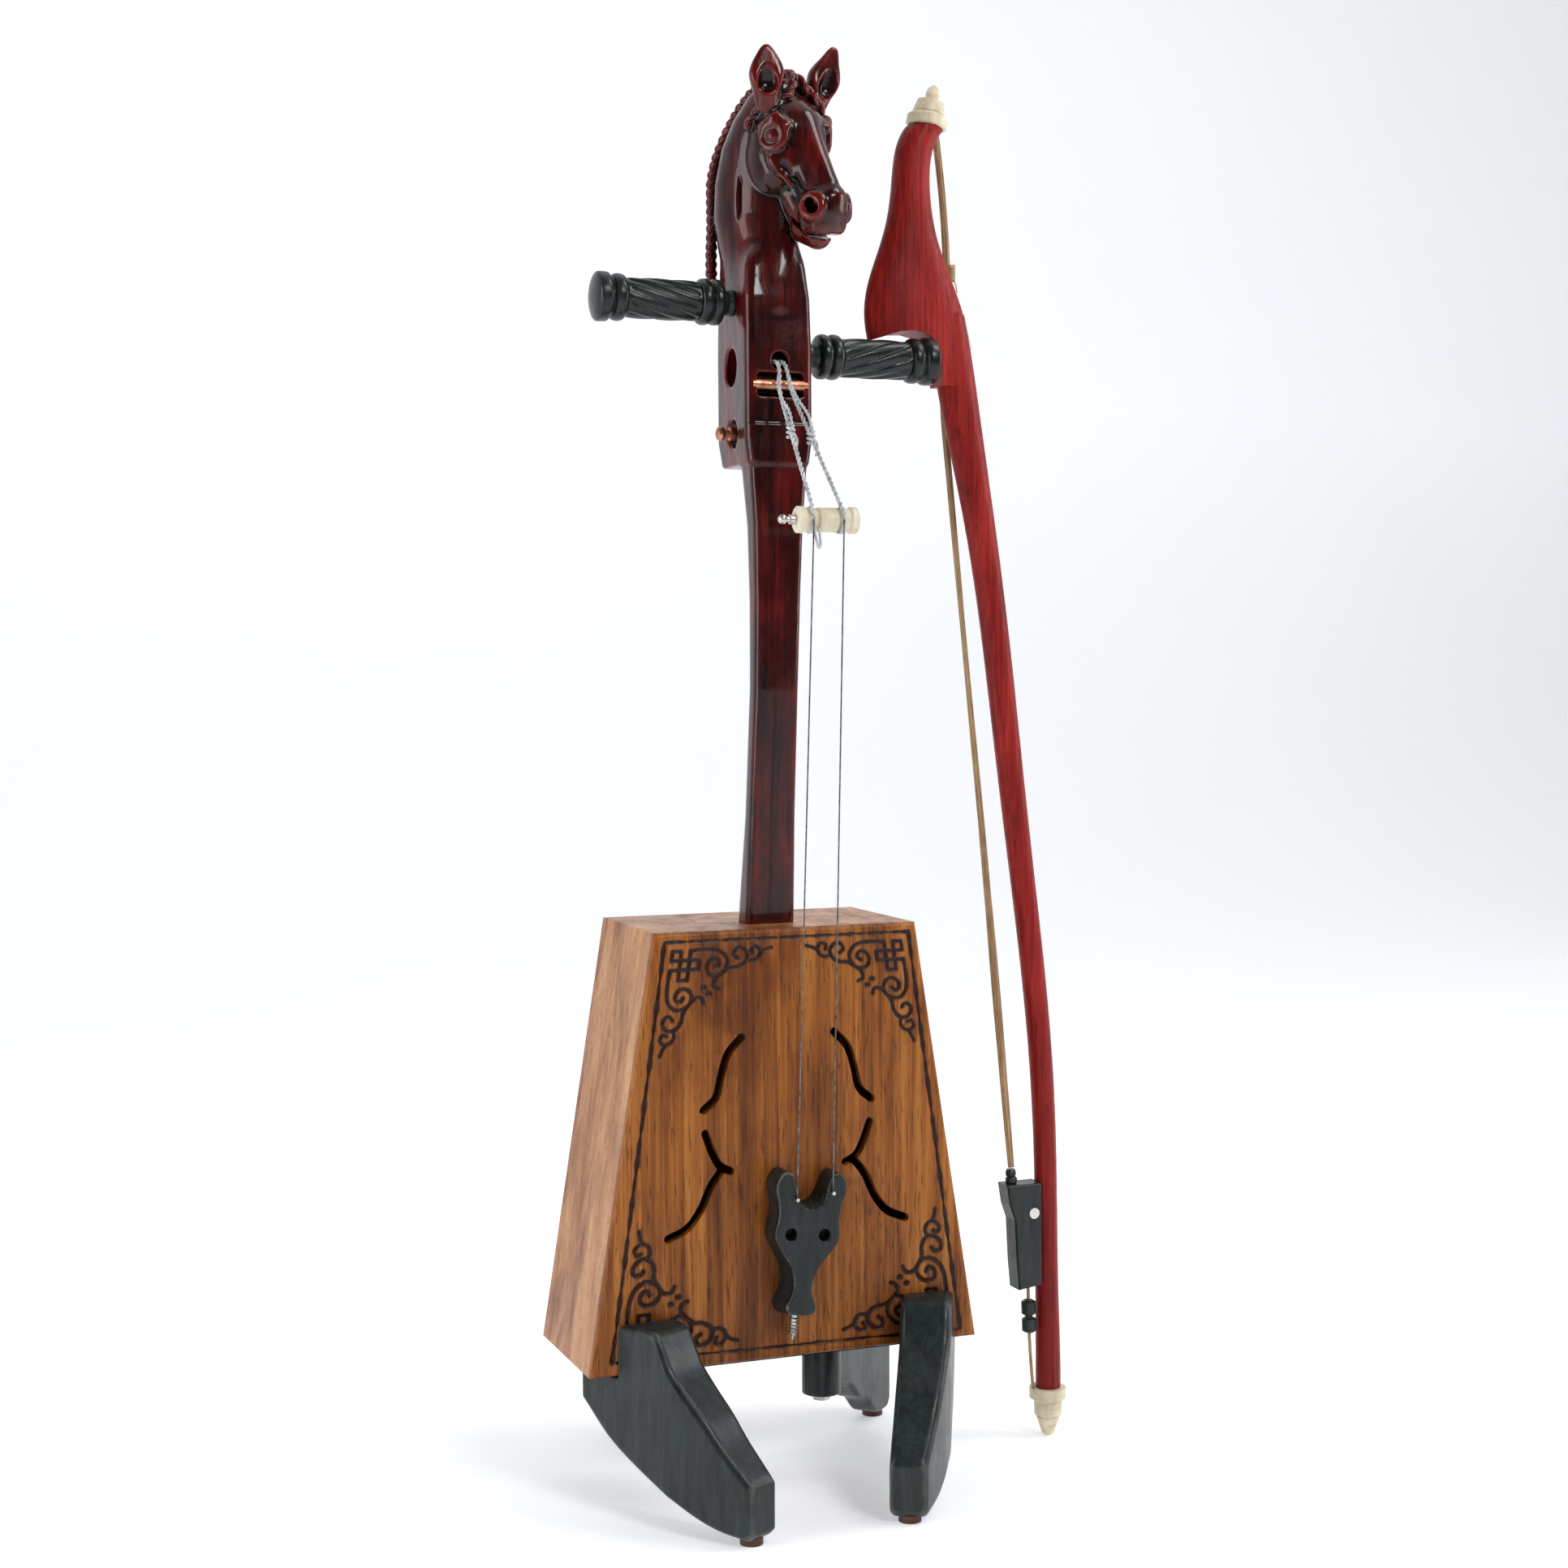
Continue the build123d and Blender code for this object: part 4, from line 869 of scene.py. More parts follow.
def add_ears(field):
    for s in (-1, 1):
        base = np.array((s * 16.6, 14.0, 742.0))
        middle = np.array((s * 20.4 + 0.8, 18.0, 757.5))
        tip = np.array((s * 24.2 + 1.6, 22.6, 772.0))
        spots = np.array([head_spot(*spot) for spot in (base, middle, tip)])
        low, high = spots.min(0) - 13, spots.max(0) + 13
        outward = math.radians(9 * s - 19)
        opening = np.array((math.sin(outward), math.cos(outward), 0.12))

        def ear(p):
            q = head_frame(p)
            lower = round_cone(q, base, middle, 6.6, 8.2)
            upper = round_cone(q, middle, tip, 8.2, 4.6)
            return soft_min(lower, upper, 5.0)

        def shell(p):
            """The ear without its front half, which leaves a cupped leaf."""
            q = head_frame(p)
            ahead = sum((q[i] - middle[i]) * opening[i] for i in range(3))
            return soft_max(ear(p), np.abs(ahead + 1.0) - 4.6, 2.5)

        def bowl(p):
            q = head_frame(p)
            low_end = middle + opening * 5.2 + np.array((0, 0, -6.0))
            high_end = tip + opening * 5.0 + np.array((0, 0, -3.2))
            return round_cone(q, low_end, high_end, 6.0, 3.9)

        field.add(shell, low, high, 2.5)
        field.cut(bowl, low, high, 0.8)


FORELOCKS = (((-0.5, 7, 759.0), (0, 14, 759.5), (-1.6, 19.0, 753.5), (-5.5, 20.9, 747.5),
              (-11.0, 19.4, 743.8), (-16.2, 13.8, 741.2), (-18.9, 7.0, 738), (-19.8, 2.0, 732)),
             ((1.2, 8, 759.2), (2.0, 14.5, 759.2), (4.5, 19.8, 753.5), (9.0, 21.2, 747.8),
              (14.0, 20.8, 743.6), (18.0, 20.6, 739)))
MANE = ((-20.4, 56.5, 645), (-20.8, 57.5, 656), (-20.6, 58.2, 668), (-19.9, 58.6, 683), (-19.8, 59.0, 697),
        (-19.8, 58.4, 707), (-17.4, 57.6, 719), (-13.6, 53.6, 731), (-9.8, 49.4, 740), (-6.4, 44.4, 747),
        (-2.4, 37.0, 753.5), (2.0, 28.5, 757.5))


def add_rope(field, path, radius, pitch, strands, lift, k):
    """A twisted rope carved in relief along a path."""
    sides, ups = path_frames(path)
    run = np.concatenate([[0], np.cumsum(np.linalg.norm(np.diff(path, axis=0), axis=1))])
    for strand in range(strands):
        turn = 2 * math.pi * (run / pitch + strand / strands)
        line = path + radius * (np.cos(turn)[:, None] * sides + np.sin(turn)[:, None] * ups)
        for a, b in zip(line, line[1:]):
            field.add(lambda p: round_cone(p, a, b, lift, lift), np.minimum(a, b) - lift - 2.5,
                      np.maximum(a, b) + lift + 2.5, k)


def evenly(path, spacing):
    run = np.concatenate([[0], np.cumsum(np.linalg.norm(np.diff(path, axis=0), axis=1))])
    marks = np.linspace(0, run[-1], int(run[-1] / spacing) + 2)
    return np.stack([np.interp(marks, run, path[:, i]) for i in range(3)], 1)


def carved_neck():
    step = 0.75
    field = Field((-32, -27, 304), (42, 70, 786), step)
    field.add(neck_field, (-20, 4, 304), (20, 54, 572), 0.0)
    field.add(pegbox_field, (-24, 2, 548), (24, 62, 684), 2.5)
    field.add(crest_field, (-32, 2, 626), (30, 68, 760), 5.0)
    head = Field((-32, -27, 650), (42, 70, 786), step)
    head.low = field.low + np.array((0, 0, step * int((650 - 304) / step)))
    head.axes[2] = field.axes[2][int((650 - 304) / step):]
    head.values = np.full((len(field.axes[0]), len(field.axes[1]), len(head.axes[2])), 8.0, np.float32)
    add_head(head)
    add_ears(head)
    upper = field.values[:, :, int((650 - 304) / step):]
    field.values[:, :, int((650 - 304) / step):] = soft_min(upper, head.values, 1.2)
    for strand, line in enumerate(FORELOCKS):
        path = np.array([head_spot(*spot) for spot in evenly(smooth_curve(line, 8), 1.4)])
        add_rope(field, path, 1.25, 15.0 + 2 * strand, 2, 1.35, 0.5)
    mane = evenly(smooth_curve(MANE, 8), 1.3)
    add_rope(field, mane, 1.5, 9.6, 2, 1.9, 0.35)
    # the slit in the flank, and a channel beside the throat
    field.cut(lambda p: ellipsoid(p, (-16.4, 29.0, 695), (4.2, 1.1, 12.0)), (-24, 22, 680), (-8, 36, 710), 0.6)
    field.cut(lambda p: round_cone(p, (-13.0, 5.5, 694), (-11.5, 5.0, 662), 4.6, 3.0), (-22, -4, 655),
              (-4, 16, 702), 3.0)
    cut_pegbox(field)
    points, quads = field.mesh()
    points = relaxed(points, quads, 1)
    bend = 0.5 * field.convexity(points, 2) + 0.5 * field.convexity(points, 5) / 2.2
    # edge drives the painted highlight along the ridges of the carved lacquer
    edge = np.clip(bend * 1.5, 0, 1)
    hollow = np.clip(-bend * 3.4, 0, 1)
    # painted shade: the whole peg chamber is marked hollow, so its lacquer is coloured near-black
    inside = ((np.abs(points[:, 0] + 2.5) < 8.9) & (np.abs(points[:, 1] - 32) < 15.4)
              & (np.abs(points[:, 2] - 623) < 29.4))
    hollow[inside] = 1.0
    piece = add_mesh("carved_neck", points, quads, "fiddle", "red_lacquer", CARVED_LACQUER,
                     attributes={"edge": edge, "hollow": hollow})
    thinned(piece, 190000)
    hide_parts("neck", "pegbox", "horse_head")


def cut_pegbox(field):
    """The peg chamber and every hole and recess of the pegbox."""
    field.cut(lambda p: box_field(p, (-2.5, 32, 623), (8.5, 15, 29), 1.5), (-14, 14, 590), (9, 50, 656), 0)
    field.cut(lambda p: round_cone(p, (0, 2, 606.5), (0, 20, 605.5), 4.8, 4.8), (-8, 0, 598), (8, 24, 614), 1.2)
    field.cut(lambda p: box_field(p, (0, 9.5, 593.5), (13.2, 5.6, 6.2), 2.2), (-18, 0, 584), (18, 18, 603), 1.0)
    field.cut(lambda p: round_cone(p, (-30, 33, 604.5), (-8, 33, 604.5), 8.6, 8.6, (1, 1.0, 0.86)),
              (-30, 20, 590), (-5, 46, 619), 1.2)
    field.cut(lambda p: round_cone(p, (-30, PEG_Y, KNOB_Z), (-19.5, PEG_Y, KNOB_Z), 7.6, 7.6),
              (-30, 20, 558), (-8, 42, 580), 1.2)
    for side, z in ((-1, UPPER_PEG_Z), (1, LOWER_PEG_Z)):
        field.cut(lambda p: np.sqrt((p[1] - PEG_Y) ** 2 + (p[2] - z) ** 2) - 5.2 + 0 * p[0],
                  (min(side * 30, side * 6), 22, z - 9), (max(side * 30, side * 6), 40, z + 9), 0.6)


# ---- slabs with rounded edges: legs of the stand and the bridge --------------------------------
def outline_distance(x, y, outline):
    """Signed distance to a closed outline, negative inside."""
    a = outline
    b = np.roll(outline, -1, axis=0)
    best = np.full(np.broadcast(x, y).shape, 1e9)
    inside = np.zeros(best.shape, bool)
    for (ax, ay), (bx, by) in zip(a, b):
        dx, dy = bx - ax, by - ay
        t = np.clip(((x - ax) * dx + (y - ay) * dy) / max(dx * dx + dy * dy, 1e-9), 0, 1)
        best = np.minimum(best, (x - ax - t * dx) ** 2 + (y - ay - t * dy) ** 2)
        if ay != by:
            crossing = (ay > y) != (by > y)
            inside ^= crossing & (x < ax + (y - ay) / (by - ay) * dx)
    return np.where(inside, -1, 1) * np.sqrt(best)


def slab_field(outline, thickness, rounding, step, flare=None, plan=None):
    """A field in its own axes: along and up the outline, then through the thickness.

    With a plan the thickness follows that second outline, which is seen from above.
    """
    low = np.append(outline.min(0) - 4, -4)
    high = np.append(outline.max(0) + 4, thickness + 4)
    field = Field(low, high, step)
    x, y, t = (field.axes[0][:, None, None], field.axes[1][None, :, None], field.axes[2][None, None, :])
    flat = outline_distance(x[:, :, 0], y[:, :, 0], outline)[:, :, None]
    if flare is not None:
        flat = flat - flare(x, y, t)
    side = np.abs(t - thickness / 2) - thickness / 2 + rounding
    if plan is not None:
        side = outline_distance(x[:, 0, :], t[0], plan)[:, None, :] + rounding
    flat = flat + rounding
    outside = np.sqrt(np.maximum(flat, 0) ** 2 + np.maximum(side, 0) ** 2)
    field.values = (outside + np.minimum(np.maximum(flat, side), 0) - rounding).astype(np.float32)
    return field


def slab_piece(name, field, origin, axes, body, slot, node, material=None):
    points, quads = field.mesh()
    bend = 0.5 * field.convexity(points, 2) + 0.2 * field.convexity(points, 5)
    edge = np.clip(bend * 1.5, 0, 1)
    world = np.asarray(origin) + points @ np.asarray(axes)
    if np.linalg.det(np.asarray(axes)) < 0:
        quads = quads[:, ::-1]
    piece = add_mesh(name, world, quads, body, slot, material or MATERIALS["worn_black"],
                     attributes={"edge": edge})
    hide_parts(node)


SEAT_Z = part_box("stand_rail")[1].z / MM
RAIL_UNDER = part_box("stand_rail")[0].z / MM
TUSK_ANGLE = math.radians(27.6)
TUSK_FOOT = (64.6, -61.8)
TUSK_DEEPEST = 30.0


def tusk_outline():
    """The leg from its side: distance from the toe and height."""
    top = smooth_curve([(-13.5, 34), (1.3, 49.5), (11.5, 62), (22.2, 73), (32, 84), (38.5, 96)], 6)
    horn = smooth_curve([(38.5, 96), (42.6, 101.8), (50, 103.5)], 4)
    bottom = smooth_curve([(95, 57), (74.6, 39.1), (43.9, 22.6), (10, 8), (-12, 3.6)], 6)
    return np.vstack([top[:-1], horn, [(80, 102), (112, 90), (112, 57)], bottom, [(-16, 6.5), (-16, 31)]])


def tusk_plan():
    """The leg from above: broad at the horn, bent inwards and narrower at the toe."""
    outer = smooth_curve([(-16, 10.4), (0, 6.3), (17, 2.5), (35, 0)], 5)
    inner = smooth_curve([(35, 27.5), (17, 28.3), (0, 29.3), (-16, 30)], 5)
    return np.vstack([outer, [(95, 0), (112, 20), (112, 27.5)], inner])


def front_legs():
    for side, name in ((-1, "left"), (1, "right")):
        along = np.array((side * math.sin(TUSK_ANGLE), math.cos(TUSK_ANGLE), 0))
        inward = np.array((-side * math.cos(TUSK_ANGLE), math.sin(TUSK_ANGLE), 0))
        up = np.array((0.0, 0.0, 1.0))
        origin = np.array((side * TUSK_FOOT[0], TUSK_FOOT[1], 0.0))
        field = slab_field(tusk_outline(), TUSK_DEEPEST, 3.8, 0.9, plan=tusk_plan())
        s, h, t = (field.axes[0][:, None, None], field.axes[1][None, :, None],
                   field.axes[2][None, None, :])
        world_y = origin[1] + s * along[1] + t * inward[1]
        under_box = np.minimum(world_y + 0.6, h - SEAT_Z)
        under_rail = np.minimum(world_y - 26.6, h - RAIL_UNDER)
        field.values = soft_max(field.values, under_box, 0.8)
        field.values = soft_max(field.values, under_rail, 0.4).astype(np.float32)
        slab_piece(name + "_tusk", field, origin, (along, up, inward), "stand", "black_wood",
                   name + "_front_leg")


def rear_legs():
    high = RAIL_UNDER - 0.3
    wave = smooth_curve([(-8, 46), (10, 36), (24, 33), (38, 22), (50, 17), (62, 7), (72, 3.4)], 6)
    outline = np.vstack([wave, [(84, 3.4), (88, 8), (88, high - 10), (80, high), (-8, high)]])
    for side, name, angle in ((-1, "left", 0.0), (1, "right", math.radians(45.0))):
        low_pin, high_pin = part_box(name + "_hinge_pin")
        pivot = (np.array(((low_pin.x + high_pin.x) / 2, (low_pin.y + high_pin.y) / 2, 0)) - ORIGIN) / MM
        along = np.array((side * math.sin(angle), math.cos(angle), 0))
        up = np.array((0.0, 0.0, 1.0))
        across = np.cross(along, up)
        field = slab_field(outline, 16.0, 2.6, 0.9)
        s, h, t = (field.axes[0][:, None, None], field.axes[1][None, :, None],
                   field.axes[2][None, None, :] - 8.0)
        axis = np.sqrt(s ** 2 + t ** 2)
        eye = np.maximum(axis - 11.0, np.maximum(35.0 - h, h - high))
        field.values = soft_min(field.values, eye, 1.5)
        field.values = soft_max(field.values, h - high, 0.0)
        field.values = soft_max(field.values, 3.1 - axis + 0 * h, 0.4).astype(np.float32)
        slab_piece(name + "_rear_board", field, pivot - 8.0 * across, (along, up, across),
                   name + "_rear_leg", "black_wood", name + "_rear_leg")


BRIDGE_FOOT = 101.0
BRIDGE_DEPTH = 17.0
BRIDGE_TILT = math.radians(5.8)
BRIDGE_HALF = ((5.5, 0), (8.8, 4.5), (6.4, 10), (5.4, 16), (7.4, 25), (13, 33), (18.4, 41.5), (17.4, 52),
               (18.2, 60), (20.2, 68), (17.5, 75.5), (12, 76), (9, 69), (5.5, 61.5), (0, 58.5))


def bridge():
    right = smooth_curve(BRIDGE_HALF, 5)
    outline = np.vstack([right[:-1], (right * (-1, 1))[::-1][:-1]])

    def flare(x, y, t):
        """Lower down the block is cut wider towards the plate."""
        return 2.3 * np.clip(1 - t / 14, 0, 1) * np.clip((44 - y) / 24, 0, 1)

    field = slab_field(outline, BRIDGE_DEPTH - 0.02, 1.3, 0.55, flare)
    x, z, t = (field.axes[0][:, None, None], field.axes[1][None, :, None],
               field.axes[2][None, None, :])
    whittled = ellipsoid((x, z, t), (0.5, 66.0, BRIDGE_DEPTH + 1.0), (8.6, 9.0, 7.5))
    whittled = whittled + 0.35 * np.sin(x * 1.9 + z * 0.7) * np.sin(t * 1.4 + z)
    field.values = soft_max(field.values, -whittled, 0.8)
    for eye, deep in ((-9.5, 8.0), (9.5, 8.0)):
        hole = np.maximum(np.sqrt((x - eye) ** 2 + (z - 43.5) ** 2) - 3.2, BRIDGE_DEPTH - deep - t)
        field.values = soft_max(field.values, -hole, 1.2)
    screw = np.maximum(np.sqrt(x ** 2 + (t - 7.5) ** 2) - 2.0 + 0 * z, z - 12)
    field.values = soft_max(field.values, -screw, 0.4)
    level = np.array((math.cos(BRIDGE_TILT), 0, -math.sin(BRIDGE_TILT)))
    rise = np.array((math.sin(BRIDGE_TILT), 0, math.cos(BRIDGE_TILT)))
    field.values = field.values.astype(np.float32)
    slab_piece("bridge_block", field, (0, 0, BRIDGE_FOOT), (level, rise, (0, -1, 0)), "fiddle",
               "black_wood", "bridge", MATERIALS["bridge_black"])


# ---- turned pegs -----------------------------------------------------------------------------
def bead(low, high, radius, inner, steps=8):
    """A round moulding between two heights."""
    out = []
    for i in range(steps + 1):
        angle = math.pi * i / steps
        out.append((inner + (radius - inner) * math.sin(angle) ** 0.7,
                    low + (high - low) * (1 - math.cos(angle)) / 2))
    return out


def pegs():
    for name, side, z, gap in (("upper", -1, UPPER_PEG_Z, 0.0), ("lower", 1, LOWER_PEG_Z, 4.0)):
        origin = (side * (19.0 + gap), PEG_Y, z)
        direction = (side, 0, 0)
        heights = np.linspace(19.5, 60.3, 74)
        grip = [(10.1 + 0.35 * math.sin((h - 19.5) / 41 * math.pi), h) for h in heights]

        def flutes(angle, h):
            """Slanting leaf-shaped hollows, shallow at both ends of the grip."""
            turn = (angle / (2 * math.pi) * 9 + side * (h - 19.5) / 17.0) % 1.0
            leaf = min(turn / 0.32, (1 - turn) / 0.68)
            fade = min((h - 19.5) / 3.0, (60.3 - h) / 3.0, 1.0)
            return fade * (1.15 * (1 - (1 - leaf) ** 2) - 0.75)

        body = name + "_peg"
        points, faces = revolve(grip, origin, direction, 144, flutes)
        piece = add_mesh(name + "_fluted_grip", points, faces, body, "black_wood",
                         MATERIALS["peg_black"])
        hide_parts(name + "_peg_grip")
        rings = ([(8.0, 6.5)] + bead(6.8, 12.6, 12.2, 10.2) + bead(13.1, 19.2, 12.3, 10.2)
                 + [(9.6, 19.6)])
        points, faces = revolve(rings, origin, direction, 72)
        piece = add_mesh(name + "_turned_rings", points, faces, body, "black_wood",
                         MATERIALS["peg_black"])
        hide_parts(name + "_peg_rings")
        dome = [(13.0 * math.cos(a), 74.6 + 3.2 * math.sin(a)) for a in np.linspace(0.15, 1.5, 8)]
        cap = ([(9.4, 60.1)] + bead(60.4, 67.2, 12.4, 10.2) + [(9.9, 67.8), (11.4, 68.4), (12.7, 69.6),
               (13.0, 71.0), (13.0, 74.6)] + dome)
        points, faces = revolve(cap, origin, direction, 72)
        piece = add_mesh(name + "_domed_cap", points, faces, body, "black_wood",
                         MATERIALS["peg_black"])
        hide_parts(name + "_peg_cap")


# ---- strings' cords, bow hair and the frog's cord --------------------------------------------
def route(points, resolution=14):
    """Points on the smooth line of a cord whose control points are in fiddle millimetres."""
    curve = bpy.data.curves.new("route", "CURVE")
    curve.dimensions = "3D"
    curve.resolution_u = resolution
    spline = curve.splines.new("NURBS")
    spline.points.add(len(points) - 1)
    for knot, spot in zip(spline.points, place(points)):
        knot.co = (*spot, 1.0)
    spline.order_u = 3
    spline.use_endpoint_u = True
    carrier = bpy.data.objects.new("route", curve)
    mesh = bpy.data.meshes.new_from_object(carrier)
    line = (np.array([v.co for v in mesh.vertices]) - ORIGIN) / MM
    bpy.data.objects.remove(carrier)
    bpy.data.curves.remove(curve)
    bpy.data.meshes.remove(mesh)
    return line


def rope(path, radius, strands, pitch, around=8, start=0.0):
    """The strands of a twisted cord as (points, faces) pairs."""
    path = evenly(path, min(0.6, pitch / 14))
    sides, ups = path_frames(path)
    run = np.concatenate([[0], np.cumsum(np.linalg.norm(np.diff(path, axis=0), axis=1))])
    thick = radius / (1 + 1 / math.sin(math.pi / strands)) if strands > 2 else radius / 2
    parts = []
    for strand in range(strands):
        turn = 2 * math.pi * (run / pitch + strand / strands) + start
        line = path + (radius - thick) * (np.cos(turn)[:, None] * sides + np.sin(turn)[:, None] * ups)
        parts.append(sweep(line, thick * 1.08, around))
    return parts


NUT_LOW, NUT_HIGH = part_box("string_nut")
NUT_X = ((NUT_LOW.x + NUT_HIGH.x) / 2 - ORIGIN[0]) / MM
NUT_Y = ((NUT_LOW.y + NUT_HIGH.y) / 2 - ORIGIN[1]) / MM
NUT_Z = (NUT_LOW.z + NUT_HIGH.z) / 2 / MM


LOW_ANCHOR = (-2.4, -18.2, 164.0)
HIGH_ANCHOR = (18.0, -18.2, 166.0)


def strings():
    """Two dark drawn wires from the bridge up to the spool."""
    for name, anchor, x in (("low", LOW_ANCHOR, NUT_X - 9.8), ("high", HIGH_ANCHOR, NUT_X + 7.0)):
        line = np.linspace(anchor, (x, NUT_Y - 7.7, NUT_Z), 60)
        piece = add_mesh(name + "_wire", *sweep(line, 0.42, 10), "fiddle", "steel",
                         MATERIALS["string_steel"])
        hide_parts(name + "_string")


def string_cords():
    for side, name, x in ((-1, "low", NUT_X - 9.8), (1, "high", NUT_X + 7.0)):
        top = [(side * 1.7, 15, 606.5), (side * 1.8, 8, 605.5), (side * 2.0, 4.5, 602.5),
               (side * 2.6, 2.4, 596), (side * 3.4, 1.6, 590)]
        knot_z = 566.0 if side < 0 else 563.0
        foot = np.array((x, NUT_Y - 7.9, NUT_Z + 3.0))
        share = (590 - knot_z) / (590 - NUT_Z)
        knot = np.array(top[-1]) * (1 - share) + foot * share
        parts = rope(route(top + [tuple(knot), tuple(foot)]), 1.15, 2, 6.5, 8)
        # a second turn of cord beside the first, from the bar down to the knot
        beside = [(side * 3.0, 3.2, 597), (side * 4.6, 1.0, 588), (knot[0] + 1.4, knot[1] + 0.4, knot[2] + 9),
                  tuple(knot + (0.4, -0.4, 0))]
        parts += rope(route(beside), 0.85, 2, 5.5, 8)
        # the knot: a few tight turns, and a cut end that stands off
        loop = []
        for i in range(26):
            angle = i / 25 * 2.6 * 2 * math.pi
            loop.append(knot + (1.75 * math.cos(angle), 1.75 * math.sin(angle), 3.0 - 6.4 * i / 25))
        parts += [sweep(np.array(loop), 0.8, 8)]
        end = route([tuple(knot + (1.6, 0, -1)), tuple(knot + (3.4, -0.6, -3.5)),
                     tuple(knot + (3.2, -0.8, -7.5)), tuple(knot + (2.0, -0.6, -10.0))])
        parts += [sweep(end, np.linspace(0.8, 0.55, len(end)), 8)]
        # the cord's last turn round the spool, and its loop underneath
        wrap = []
        for i in range(34):
            angle = i / 33 * 1.55 * 2 * math.pi + math.pi
            wrap.append((x + 1.7 * i / 33, NUT_Y + 6.6 * math.cos(angle), NUT_Z + 6.6 * math.sin(angle)))
        parts += [sweep(np.array(wrap), 0.62, 8)]
        if side < 0:
            under = route([(x + 0.4, NUT_Y - 5.5, NUT_Z - 3.5), (x + 1.2, NUT_Y - 7.2, NUT_Z - 9),
                           (x + 3.2, NUT_Y - 6.8, NUT_Z - 16.0), (x + 4.6, NUT_Y - 6.5, NUT_Z - 11),
                           (x + 3.4, NUT_Y - 5.5, NUT_Z - 4)])
            parts += [sweep(under, 0.75, 8)]
        piece = add_mesh(name + "_twisted_cord", *joined(parts), "fiddle", "grey_cord")
        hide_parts(name + "_string_cord")


HAIR_PATH = ((152.4, 40, 158), (135.6, 43, 350), (117.3, 48, 545), (114.4, 53.3, 615), (118.6, 49, 672),
             (109.5, 49.6, 740))


def bow_hair():
    random = np.random.default_rng(7)
    path = evenly(route(HAIR_PATH, 20), 7.0)
    sides, ups = path_frames(path)
    run = np.linspace(0, 1, len(path))
    parts = []
    for hair in range(64):
        angle, reach = random.uniform(0, 2 * math.pi), 1.55 * math.sqrt(random.uniform(0, 1))
        twist = random.uniform(-2.5, 2.5)
        loose = 0.35 * np.sin(run * random.uniform(8, 20) + random.uniform(0, 6))
        spread = 1 + 0.25 * np.sin(run * 9)
        turn = angle + twist * run
        line = (path + ((reach * spread + loose) * np.cos(turn))[:, None] * sides
                + ((reach * spread + loose) * np.sin(turn))[:, None] * ups)
        parts.append(sweep(line, 0.27, 5))
    for z, length, lean in ((560, 70, 5), (640, 50, 8), (672, 60, -7), (590, 40, 10), (660, 34, 12)):
        near = path[np.abs(path[:, 2] - z).argmin()]
        stray = route([tuple(near), tuple(near + (lean * 0.3, -1.5, -length * 0.35)),
                       tuple(near + (lean, -3.0, -length * 0.7)),
                       tuple(near + (lean * 1.2, -2.0, -length))])
        parts.append(sweep(stray, 0.12, 4))
    piece = add_mesh("hank_of_hair", *joined(parts), "bow", "horsehair")
    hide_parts("bow_hair")
    low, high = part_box("hair_knot")
    middle = ((np.array(low) + np.array(high)) / 2 - ORIGIN) / MM
    turns = []
    for i in range(90):
        angle = i / 89 * 7 * 2 * math.pi
        turns.append(middle + (2.3 * math.cos(angle), 2.3 * math.sin(angle), -4.2 + 8.4 * i / 89))
    tie = [sweep(np.array(turns), 0.62, 6)]
    for end in ((3.0, -2.0, -11.0), (-2.0, -3.2, -9.0)):
        tail = route([tuple(middle + (0, -2.2, -2)), tuple(middle + np.array(end) * 0.5 + (1, -1, 0)),
                      tuple(middle + end)])
        tie.append(sweep(tail, 0.35, 5))
    piece = add_mesh("hair_binding", *joined(tie), "bow", "horsehair")
    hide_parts("hair_knot")


CORD_PATH = ((163.3, 40, 88.6), (163.2, 39, 72), (164.0, 39, 50), (166.6, 40, 28.2))


def frog_cord():
    parts = rope(route(CORD_PATH), 1.0, 3, 4.0, 7)
    piece = add_mesh("frog_twisted_cord", *joined(parts), "bow", "horsehair")
    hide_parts("frog_cord")


# ---- camera, light and floor ----------------------------------------------------------------
CAMERA_PLACE = Vector((-0.5006, -1.2196, 0.4428))
CAMERA_YAW = math.radians(21.29)         # turned to the right of straight at the front
CAMERA_PITCH = math.radians(2.72)        # looking down
CAMERA_ROLL = math.radians(-0.21)
CAMERA_LENS = 55.08


def make_camera():
    data = bpy.data.cameras.new("camera")
    data.lens = CAMERA_LENS
    data.sensor_width = 36.0
    data.clip_start = 0.05
    camera = bpy.data.objects.new("camera", data)
    bpy.context.scene.collection.objects.link(camera)
    ahead = Vector((math.sin(CAMERA_YAW) * math.cos(CAMERA_PITCH),
                    math.cos(CAMERA_YAW) * math.cos(CAMERA_PITCH), -math.sin(CAMERA_PITCH)))
    right = Vector((math.cos(CAMERA_YAW), -math.sin(CAMERA_YAW), 0.0))
    up = right.cross(ahead)
    turned_right = right * math.cos(CAMERA_ROLL) + up * math.sin(CAMERA_ROLL)
    turned_up = up * math.cos(CAMERA_ROLL) - right * math.sin(CAMERA_ROLL)
    matrix = Matrix((turned_right, turned_up, -ahead)).transposed().to_4x4()
    matrix.translation = CAMERA_PLACE
    camera.matrix_world = matrix
    bpy.context.scene.camera = camera


def softbox(name, spot, aim, width, height, power, color=(1.0, 1.0, 1.0)):
    data = bpy.data.lights.new(name, "AREA")
    data.shape = "RECTANGLE"
    data.size = width
    data.size_y = height
    data.energy = power
    data.color = color
    light = bpy.data.objects.new(name, data)
    bpy.context.scene.collection.objects.link(light)
    light.location = spot
    light.rotation_euler = (Vector(aim) - Vector(spot)).to_track_quat("-Z", "Y").to_euler()


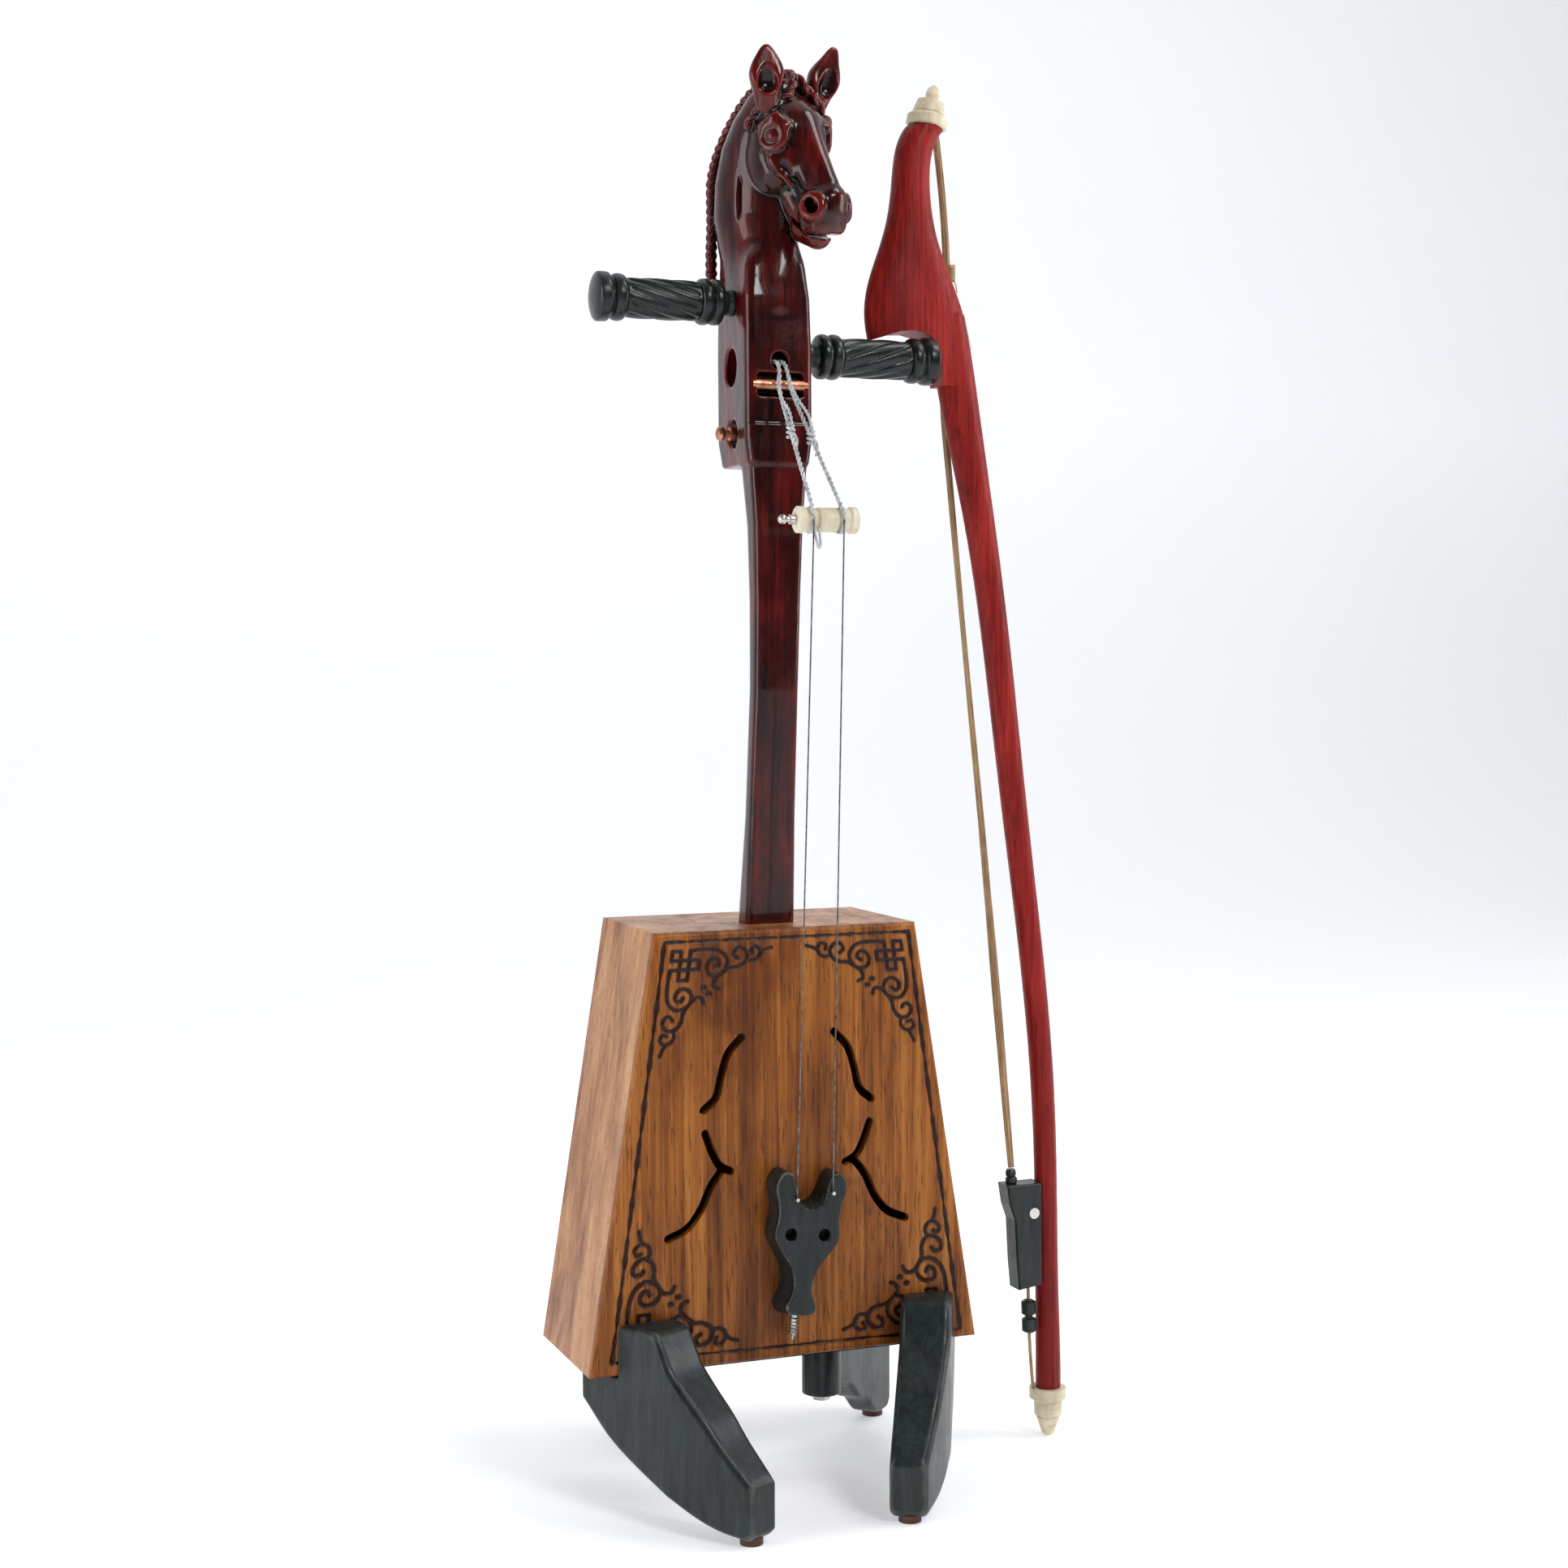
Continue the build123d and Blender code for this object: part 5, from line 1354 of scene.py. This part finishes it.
def make_lights():
    middle = (0.0, 0.0, 0.42)
    softbox("softbox_left", (-1.9, -0.25, 0.75), middle, 0.9, 1.3, 17.0)
    softbox("softbox_right", (1.9, -0.5, 0.9), middle, 0.7, 1.2, 12.0)
    softbox("softbox_front", (0.55, -1.9, 1.75), middle, 0.7, 0.5, 19.0)
    softbox("softbox_top", (0.0, 0.2, 2.3), (0.0, 0.0, 0.0), 2.0, 1.6, 4.0)
    softbox("softbox_high", (1.0, -0.55, 2.1), (-0.05, 0.0, 0.7), 0.7, 0.7, 11.0)
    softbox("softbox_backdrop", (1.0, 0.7, 2.4), (1.1, 2.5, 0.6), 4.0, 0.8, 10.0)
    world = bpy.data.worlds.new("studio")
    bpy.context.scene.world = world
    world.use_nodes = True
    tree = world.node_tree
    place_node = tree.nodes.new("ShaderNodeTexCoord")
    split = tree.nodes.new("ShaderNodeSeparateXYZ")
    tree.links.new(place_node.outputs["Generated"], split.inputs[0])
    ramp = tree.nodes.new("ShaderNodeValToRGB")
    ramp.color_ramp.elements[0].position = 0.30
    ramp.color_ramp.elements[0].color = (0.10, 0.10, 0.11, 1.0)
    ramp.color_ramp.elements[1].position = 0.75
    ramp.color_ramp.elements[1].color = (0.62, 0.63, 0.66, 1.0)
    half = tree.nodes.new("ShaderNodeMath")
    half.operation = "MULTIPLY_ADD"
    half.inputs[1].default_value = 0.5
    half.inputs[2].default_value = 0.5
    tree.links.new(split.outputs[1], half.inputs[0])
    tree.links.new(half.outputs[0], ramp.inputs[0])
    tree.links.new(ramp.outputs[0], tree.nodes["Background"].inputs["Color"])
    tree.nodes["Background"].inputs["Strength"].default_value = 1.0


def make_floor():
    """A floor that sweeps up into a pale wall behind the object."""
    wide, near, start, radius, high = 5.0, -3.5, 1.7, 0.9, 3.2
    profile = [(near, 0.0), (start, 0.0)]
    for step in range(1, 17):
        angle = math.pi / 2 * step / 16
        profile.append((start + radius * math.sin(angle), radius * (1 - math.cos(angle))))
    profile.append((start + radius, high))
    mesh = bpy.data.meshes.new("floor")
    points = [(x, y, z) for y, z in profile for x in (-wide, wide)]
    faces = [(2 * i, 2 * i + 1, 2 * i + 3, 2 * i + 2) for i in range(len(profile) - 1)]
    mesh.from_pydata(points, [], faces)
    mesh.shade_smooth()
    floor = bpy.data.objects.new("floor", mesh)
    bpy.context.scene.collection.objects.link(floor)
    n = Nodes("floor_paper")
    cloud = n.noise(n.stretched(3, 3, 3), 1.0, 3.0)
    color = n.ramp(cloud, [(0.3, (0.83, 0.84, 0.855)), (0.7, (0.85, 0.86, 0.87))])
    material = n.finish(color, 0.7, Specular_IOR_Level=0.1)
    shader = next(node for node in material.node_tree.nodes if node.type == "BSDF_PRINCIPLED")
    shader.inputs["Emission Color"].default_value = (0.95, 0.97, 1.0, 1.0)
    shader.inputs["Emission Strength"].default_value = 0.37
    mesh.materials.append(material)


def main():
    bpy.context.scene.view_settings.view_transform = "Standard"
    make_camera()
    make_lights()
    make_floor()
    dress_nodes()
    front_plate()
    carved_neck()
    front_legs()
    rear_legs()
    bridge()
    pegs()
    strings()
    string_cords()
    bow_hair()
    frog_cord()


main()
